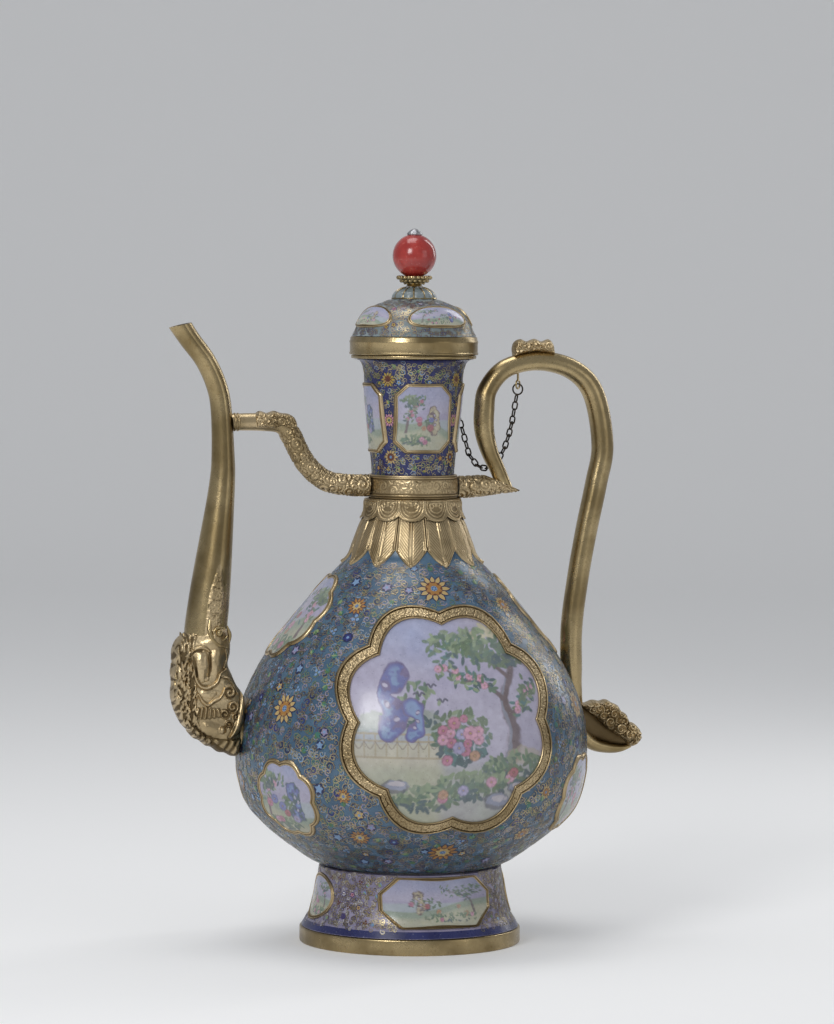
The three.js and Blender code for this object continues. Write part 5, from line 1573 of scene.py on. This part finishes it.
def hang(lengths, span, rise):
    """Where the pivots lie of a chain hung between two ends, as level distance and height from the first."""
    def walk(a):
        length = math.sqrt((2 * a * math.sinh(span / (2 * a))) ** 2 + rise ** 2)
        low = span / 2 - a * math.atanh(rise / length)

        def height(s):
            return a * (math.cosh((s - low) / a) - math.cosh(low / a))

        spots = [(0.0, 0.0)]
        for step in lengths:
            s, z = spots[-1]
            near, far = s, s + step
            for _ in range(45):
                middle = (near + far) / 2
                short = math.hypot(middle - s, height(middle) - z) < step
                near, far = (middle, far) if short else (near, middle)
            spots.append((near, height(near)))
        return spots

    low, high = span / 60, span
    for _ in range(45):
        a = (low + high) / 2
        low, high = (a, high) if walk(a)[-1][0] < span else (low, a)
    return walk((low + high) / 2)


def wire_ring(bm, centre, along, side, length, width, wire, steps=20, sides=8):
    """A closed loop of round wire with straight flanks, flat in the plane of two directions."""
    bow, straight = (width - wire) / 2, (length - width) / 2
    middle = [centre + along * (bow * math.cos(t) + math.copysign(straight, math.cos(t)))
              + side * bow * math.sin(t) for t in (TURN * (i + 0.5) / steps for i in range(steps))]
    normal = along.cross(side).normalized()
    rings = []
    for i, spot in enumerate(middle):
        ahead = (middle[(i + 1) % steps] - middle[i - 1]).normalized()
        across = ahead.cross(normal)
        rings.append([bm.verts.new(spot + (across * math.cos(a) + normal * math.sin(a)) * wire / 2)
                      for a in (TURN * k / sides for k in range(sides))])
    for one, two in zip(rings, rings[1:] + rings[:1]):
        for k in range(sides):
            bm.faces.new((one[k], one[(k + 1) % sides], two[(k + 1) % sides], two[k]))


def dress_chain():
    """The two eyes, and the links that hang between them in stiff stretches."""
    sizes = bpy.context.scene.ewer
    wire, width = sizes.link_wire / MM, sizes.link_width / MM
    across, up = Vector(ACROSS_CHAIN), Vector((0, 0, 1))
    azimuth, radius, height = LID_EYE
    outward = Vector((math.sin(math.radians(azimuth)), -math.cos(math.radians(azimuth)), 0))
    lid_eye, handle_eye = outward * radius + up * height, Vector(HANDLE_EYE)
    for node, centre, stem, side, reach in (("lid_eye", lid_eye, -outward, up, 3.2),
                                            ("handle_eye", handle_eye, up, across, 11)):
        bm = bmesh.new()
        wire_ring(bm, centre, stem, side, EYE_WIDTH, EYE_WIDTH, EYE_WIRE, 28, 10)
        rod = [tuple(centre + stem * k) for k in (2.4, 0.5 * (reach + 2.4), reach)]
        tube(bm, rod, [0.6, 0.6], 10, 4, plane=tuple(stem.cross(side)))
        piece(f"{node}_wire", close(bm), BODY_OF[node], ["gilt"], [node])
    eye_inside = EYE_WIDTH / 2 - EYE_WIRE / 2
    start, end = lid_eye - up * eye_inside, handle_eye - up * eye_inside
    level = Vector((end.x - start.x, end.y - start.y, 0))
    count = len(CHAIN_RUNS)
    firsts = [FIRST_DROP] + [FREE_STEP / 2] * (count - 1)
    ring_step = LINK_LENGTH / 2 + RING_RADIUS + wire / 2 - (LINK_LENGTH - JOINED_STEP) + RING_PLAY
    lasts = [FREE_STEP / 2] * (count - 1) + [ring_step]
    lengths = [first + JOINED_STEP * (links - 1) + last
               for first, links, last in zip(firsts, CHAIN_RUNS, lasts)]
    spots = [start + level.normalized() * s + up * z for s, z in hang(lengths, level.length, end.z - start.z)]
    before = 0
    for i, links in enumerate(CHAIN_RUNS):
        bm = bmesh.new()
        along = (spots[i + 1] - spots[i]).normalized()
        sides = (across.cross(along), across)
        for k in range(links):
            middle = spots[i] + along * (firsts[i] + JOINED_STEP * k)
            wire_ring(bm, middle, along, sides[(before + k) % 2], LINK_LENGTH, width, wire)
        if i == count - 1:
            middle = spots[i + 1] - along * RING_PLAY
            wire_ring(bm, middle, along, sides[0], 2 * RING_RADIUS, 2 * RING_RADIUS, wire, 28)
        bmesh.ops.recalc_face_normals(bm, faces=bm.faces)
        node = f"chain_run_{i + 1:02d}"
        piece(f"{node}_links", bm, BODY_OF[node], ["chain"], [node])
        before += links


class EwerSizes(bpy.types.PropertyGroup):
    """Sizes and colours that a user would change."""
    camera_distance: bpy.props.FloatProperty(name="Camera distance",
                                             description="Level distance from the axis", default=2.39,
                                             unit="LENGTH")
    camera_height: bpy.props.FloatProperty(name="Camera height",
                                           description="Height of the lens over the floor", default=0.3572,
                                           unit="LENGTH")
    camera_azimuth: bpy.props.FloatProperty(name="Camera azimuth",
                                            description="Direction that the camera looks from",
                                            default=math.radians(-14), subtype="ANGLE")
    floor_colour: bpy.props.FloatVectorProperty(name="Floor colour",
                                                description="Colour of the floor and backdrop",
                                                default=(0.78, 0.78, 0.78), subtype="COLOR")
    gilt_colour: bpy.props.FloatVectorProperty(name="Gilt", description="Colour of the fire gilding",
                                               default=linear("#b09d76"), subtype="COLOR")
    body_colour: bpy.props.FloatVectorProperty(name="Body enamel", description="Ground colour of the body",
                                               default=linear("#3b556c"), subtype="COLOR")
    neck_colour: bpy.props.FloatVectorProperty(name="Neck enamel", description="Ground colour of the neck",
                                               default=linear("#1f2352"), subtype="COLOR")
    bead_colour: bpy.props.FloatVectorProperty(name="Bead", description="Colour of the coral bead",
                                               default=linear("#8f2723"), subtype="COLOR")
    bead_radius: bpy.props.FloatProperty(name="Bead radius", description="Radius of the coral bead",
                                         default=0.0119, unit="LENGTH")
    link_wire: bpy.props.FloatProperty(name="Link wire", description="Thickness of the chain's wire",
                                       default=0.0009, unit="LENGTH")
    link_width: bpy.props.FloatProperty(name="Link width", description="Outer width of a chain link",
                                        default=0.0037, unit="LENGTH")


def soft_lamp(name, spot, aim, size, power):
    lamp = bpy.data.lights.new(name, "AREA")
    lamp.shape = "RECTANGLE"
    lamp.size, lamp.size_y = size
    lamp.energy = power
    made = bpy.data.objects.new(name, lamp)
    made.location = spot
    made.rotation_euler = (Vector(aim) - Vector(spot)).to_track_quat("-Z", "Y").to_euler()
    bpy.context.collection.objects.link(made)


def set_stage():
    """The camera that the photograph was taken with, the floor and backdrop, the world and the lamps."""
    scene = bpy.context.scene
    sizes = scene.ewer
    scene.view_settings.view_transform = "Standard"
    lens = bpy.data.cameras.new("camera")
    focal_pixels, picture_pixels = 4379, 1024
    lens.sensor_width = 36
    lens.lens = focal_pixels / picture_pixels * lens.sensor_width
    lens.clip_end = 50
    camera = bpy.data.objects.new("camera", lens)
    turn, pitch, roll = sizes.camera_azimuth, math.radians(2.92), math.radians(0.42)
    right = Vector((math.cos(turn), math.sin(turn), 0))
    spot = Vector((math.sin(turn), -math.cos(turn), 0)) * sizes.camera_distance + right * 0.0024
    camera.matrix_world = (Matrix.Translation(spot + Vector((0, 0, sizes.camera_height)))
                           @ Matrix.Rotation(turn, 4, "Z") @ Matrix.Rotation(math.pi / 2 - pitch, 4, "X")
                           @ Matrix.Rotation(roll, 4, "Z"))
    bpy.context.collection.objects.link(camera)
    scene.camera = camera

    bm = bmesh.new()
    bend = [(2.8 + 0.8 * math.sin(t), 0.8 - 0.8 * math.cos(t)) for t in np.linspace(0.2, 1.57, 8)]
    profile = [(-3.4, 0), (2.8, 0), *bend, (3.6, 4)]
    for (y0, z0), (y1, z1) in zip(profile, profile[1:]):
        bm.faces.new([bm.verts.new(p) for p in ((-5, y0, z0), (5, y0, z0), (5, y1, z1), (-5, y1, z1))])
    bmesh.ops.remove_doubles(bm, verts=bm.verts, dist=1e-5)
    mesh = bpy.data.meshes.new("floor")
    bm.to_mesh(mesh)
    bm.free()
    mesh.polygons.foreach_set("use_smooth", [True] * len(mesh.polygons))
    floor = bpy.data.objects.new("floor", mesh)
    floor.rotation_euler = (0, 0, turn)
    recipe = Recipe("floor", 0.7)
    recipe.feed(recipe.skin["Base Color"], tuple(sizes.floor_colour))
    seen = recipe.node("ShaderNodeLightPath") + recipe.node("ShaderNodeLightPath", out=3)
    recipe.feed(recipe.skin["Emission Strength"], seen * 0.14)
    mesh.materials.append(recipe.material)
    bpy.context.collection.objects.link(floor)

    world = bpy.data.worlds.new("studio")
    world.use_nodes = True
    world.node_tree.nodes["Background"].inputs[0].default_value = (0.92, 0.95, 1, 1)
    world.node_tree.nodes["Background"].inputs[1].default_value = 0.37
    scene.world = world
    soft_lamp("key", (-1.1, -1.3, 1.15), (0, 0, 0.2), (0.6, 0.8), 16)
    soft_lamp("fill", (1.4, -1.5, 0.7), (0, 0, 0.2), (0.9, 1.2), 3.2)
    soft_lamp("strip", (0.9, 0.5, 0.8), (0, 0, 0.25), (0.16, 1.0), 2.6)
    soft_lamp("top", (-0.2, 0.1, 1.7), (0, 0, 0.2), (0.8, 0.8), 7)


def operator(name, label, words, work):
    """An operator class for one piece or group of like pieces."""
    def execute(self, context):
        work()
        return {"FINISHED"}

    return type(f"EWER_OT_{name}", (bpy.types.Operator,), {
        "__doc__": words, "bl_idname": f"ewer.{name}", "bl_label": label, "bl_options": {"REGISTER", "UNDO"},
        "execute": execute})


STEPS = [operator(*row) for row in (
    ("stage", "Stage", "Sets the camera, lamps, floor and world", set_stage),
    ("finishes", "Finishes", "Makes the gilt, enamel, coral and silver finishes", make_finishes),
    ("body", "Body", "Builds the enamelled body and its cloisonne", dress_body),
    ("neck_and_foot", "Neck and foot", "Builds the neck, the foot and their rims", dress_neck_and_foot),
    ("collars", "Collars", "Builds the leaf collar and the chased band", dress_collars),
    ("spout", "Spout", "Builds the spout's pipe", dress_spout),
    ("dragon", "Dragon head", "Builds the dragon's head at the spout's foot", dress_dragon),
    ("strut", "Strut", "Builds the spout's strut and its cloud", dress_strut),
    ("handle", "Handle", "Builds the handle, its arm and its cloud", dress_handle),
    ("terminal", "Terminal", "Builds the cloud at the handle's foot", dress_terminal),
    ("panels", "Panels", "Builds the medallions and painted panels", dress_panels),
    ("lid", "Lid", "Builds the lid", dress_lid),
    ("finial", "Finial", "Builds the coral finial", dress_finial),
    ("chain", "Chain", "Builds the chain and its eyes", dress_chain),
)]


class EWER_PT_panel(bpy.types.Panel):
    """Lists the steps that build the ewer."""
    bl_label = "Ewer"
    bl_space_type = "VIEW_3D"
    bl_region_type = "UI"
    bl_category = "Ewer"

    def draw(self, context):
        sizes = context.scene.ewer
        for key in sizes.bl_rna.properties.keys()[2:]:
            self.layout.prop(sizes, key)
        for step in STEPS:
            self.layout.operator(step.bl_idname)


CLASSES = [EwerSizes, *STEPS, EWER_PT_panel]


def register():
    for made in CLASSES:
        bpy.utils.register_class(made)
    bpy.types.Scene.ewer = bpy.props.PointerProperty(type=EwerSizes)


def unregister():
    del bpy.types.Scene.ewer
    for made in reversed(CLASSES):
        bpy.utils.unregister_class(made)


def main():
    register()
    for step in STEPS:
        getattr(bpy.ops.ewer, step.bl_idname.split(".")[1])()
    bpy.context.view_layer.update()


if __name__ == "__main__":
    main()
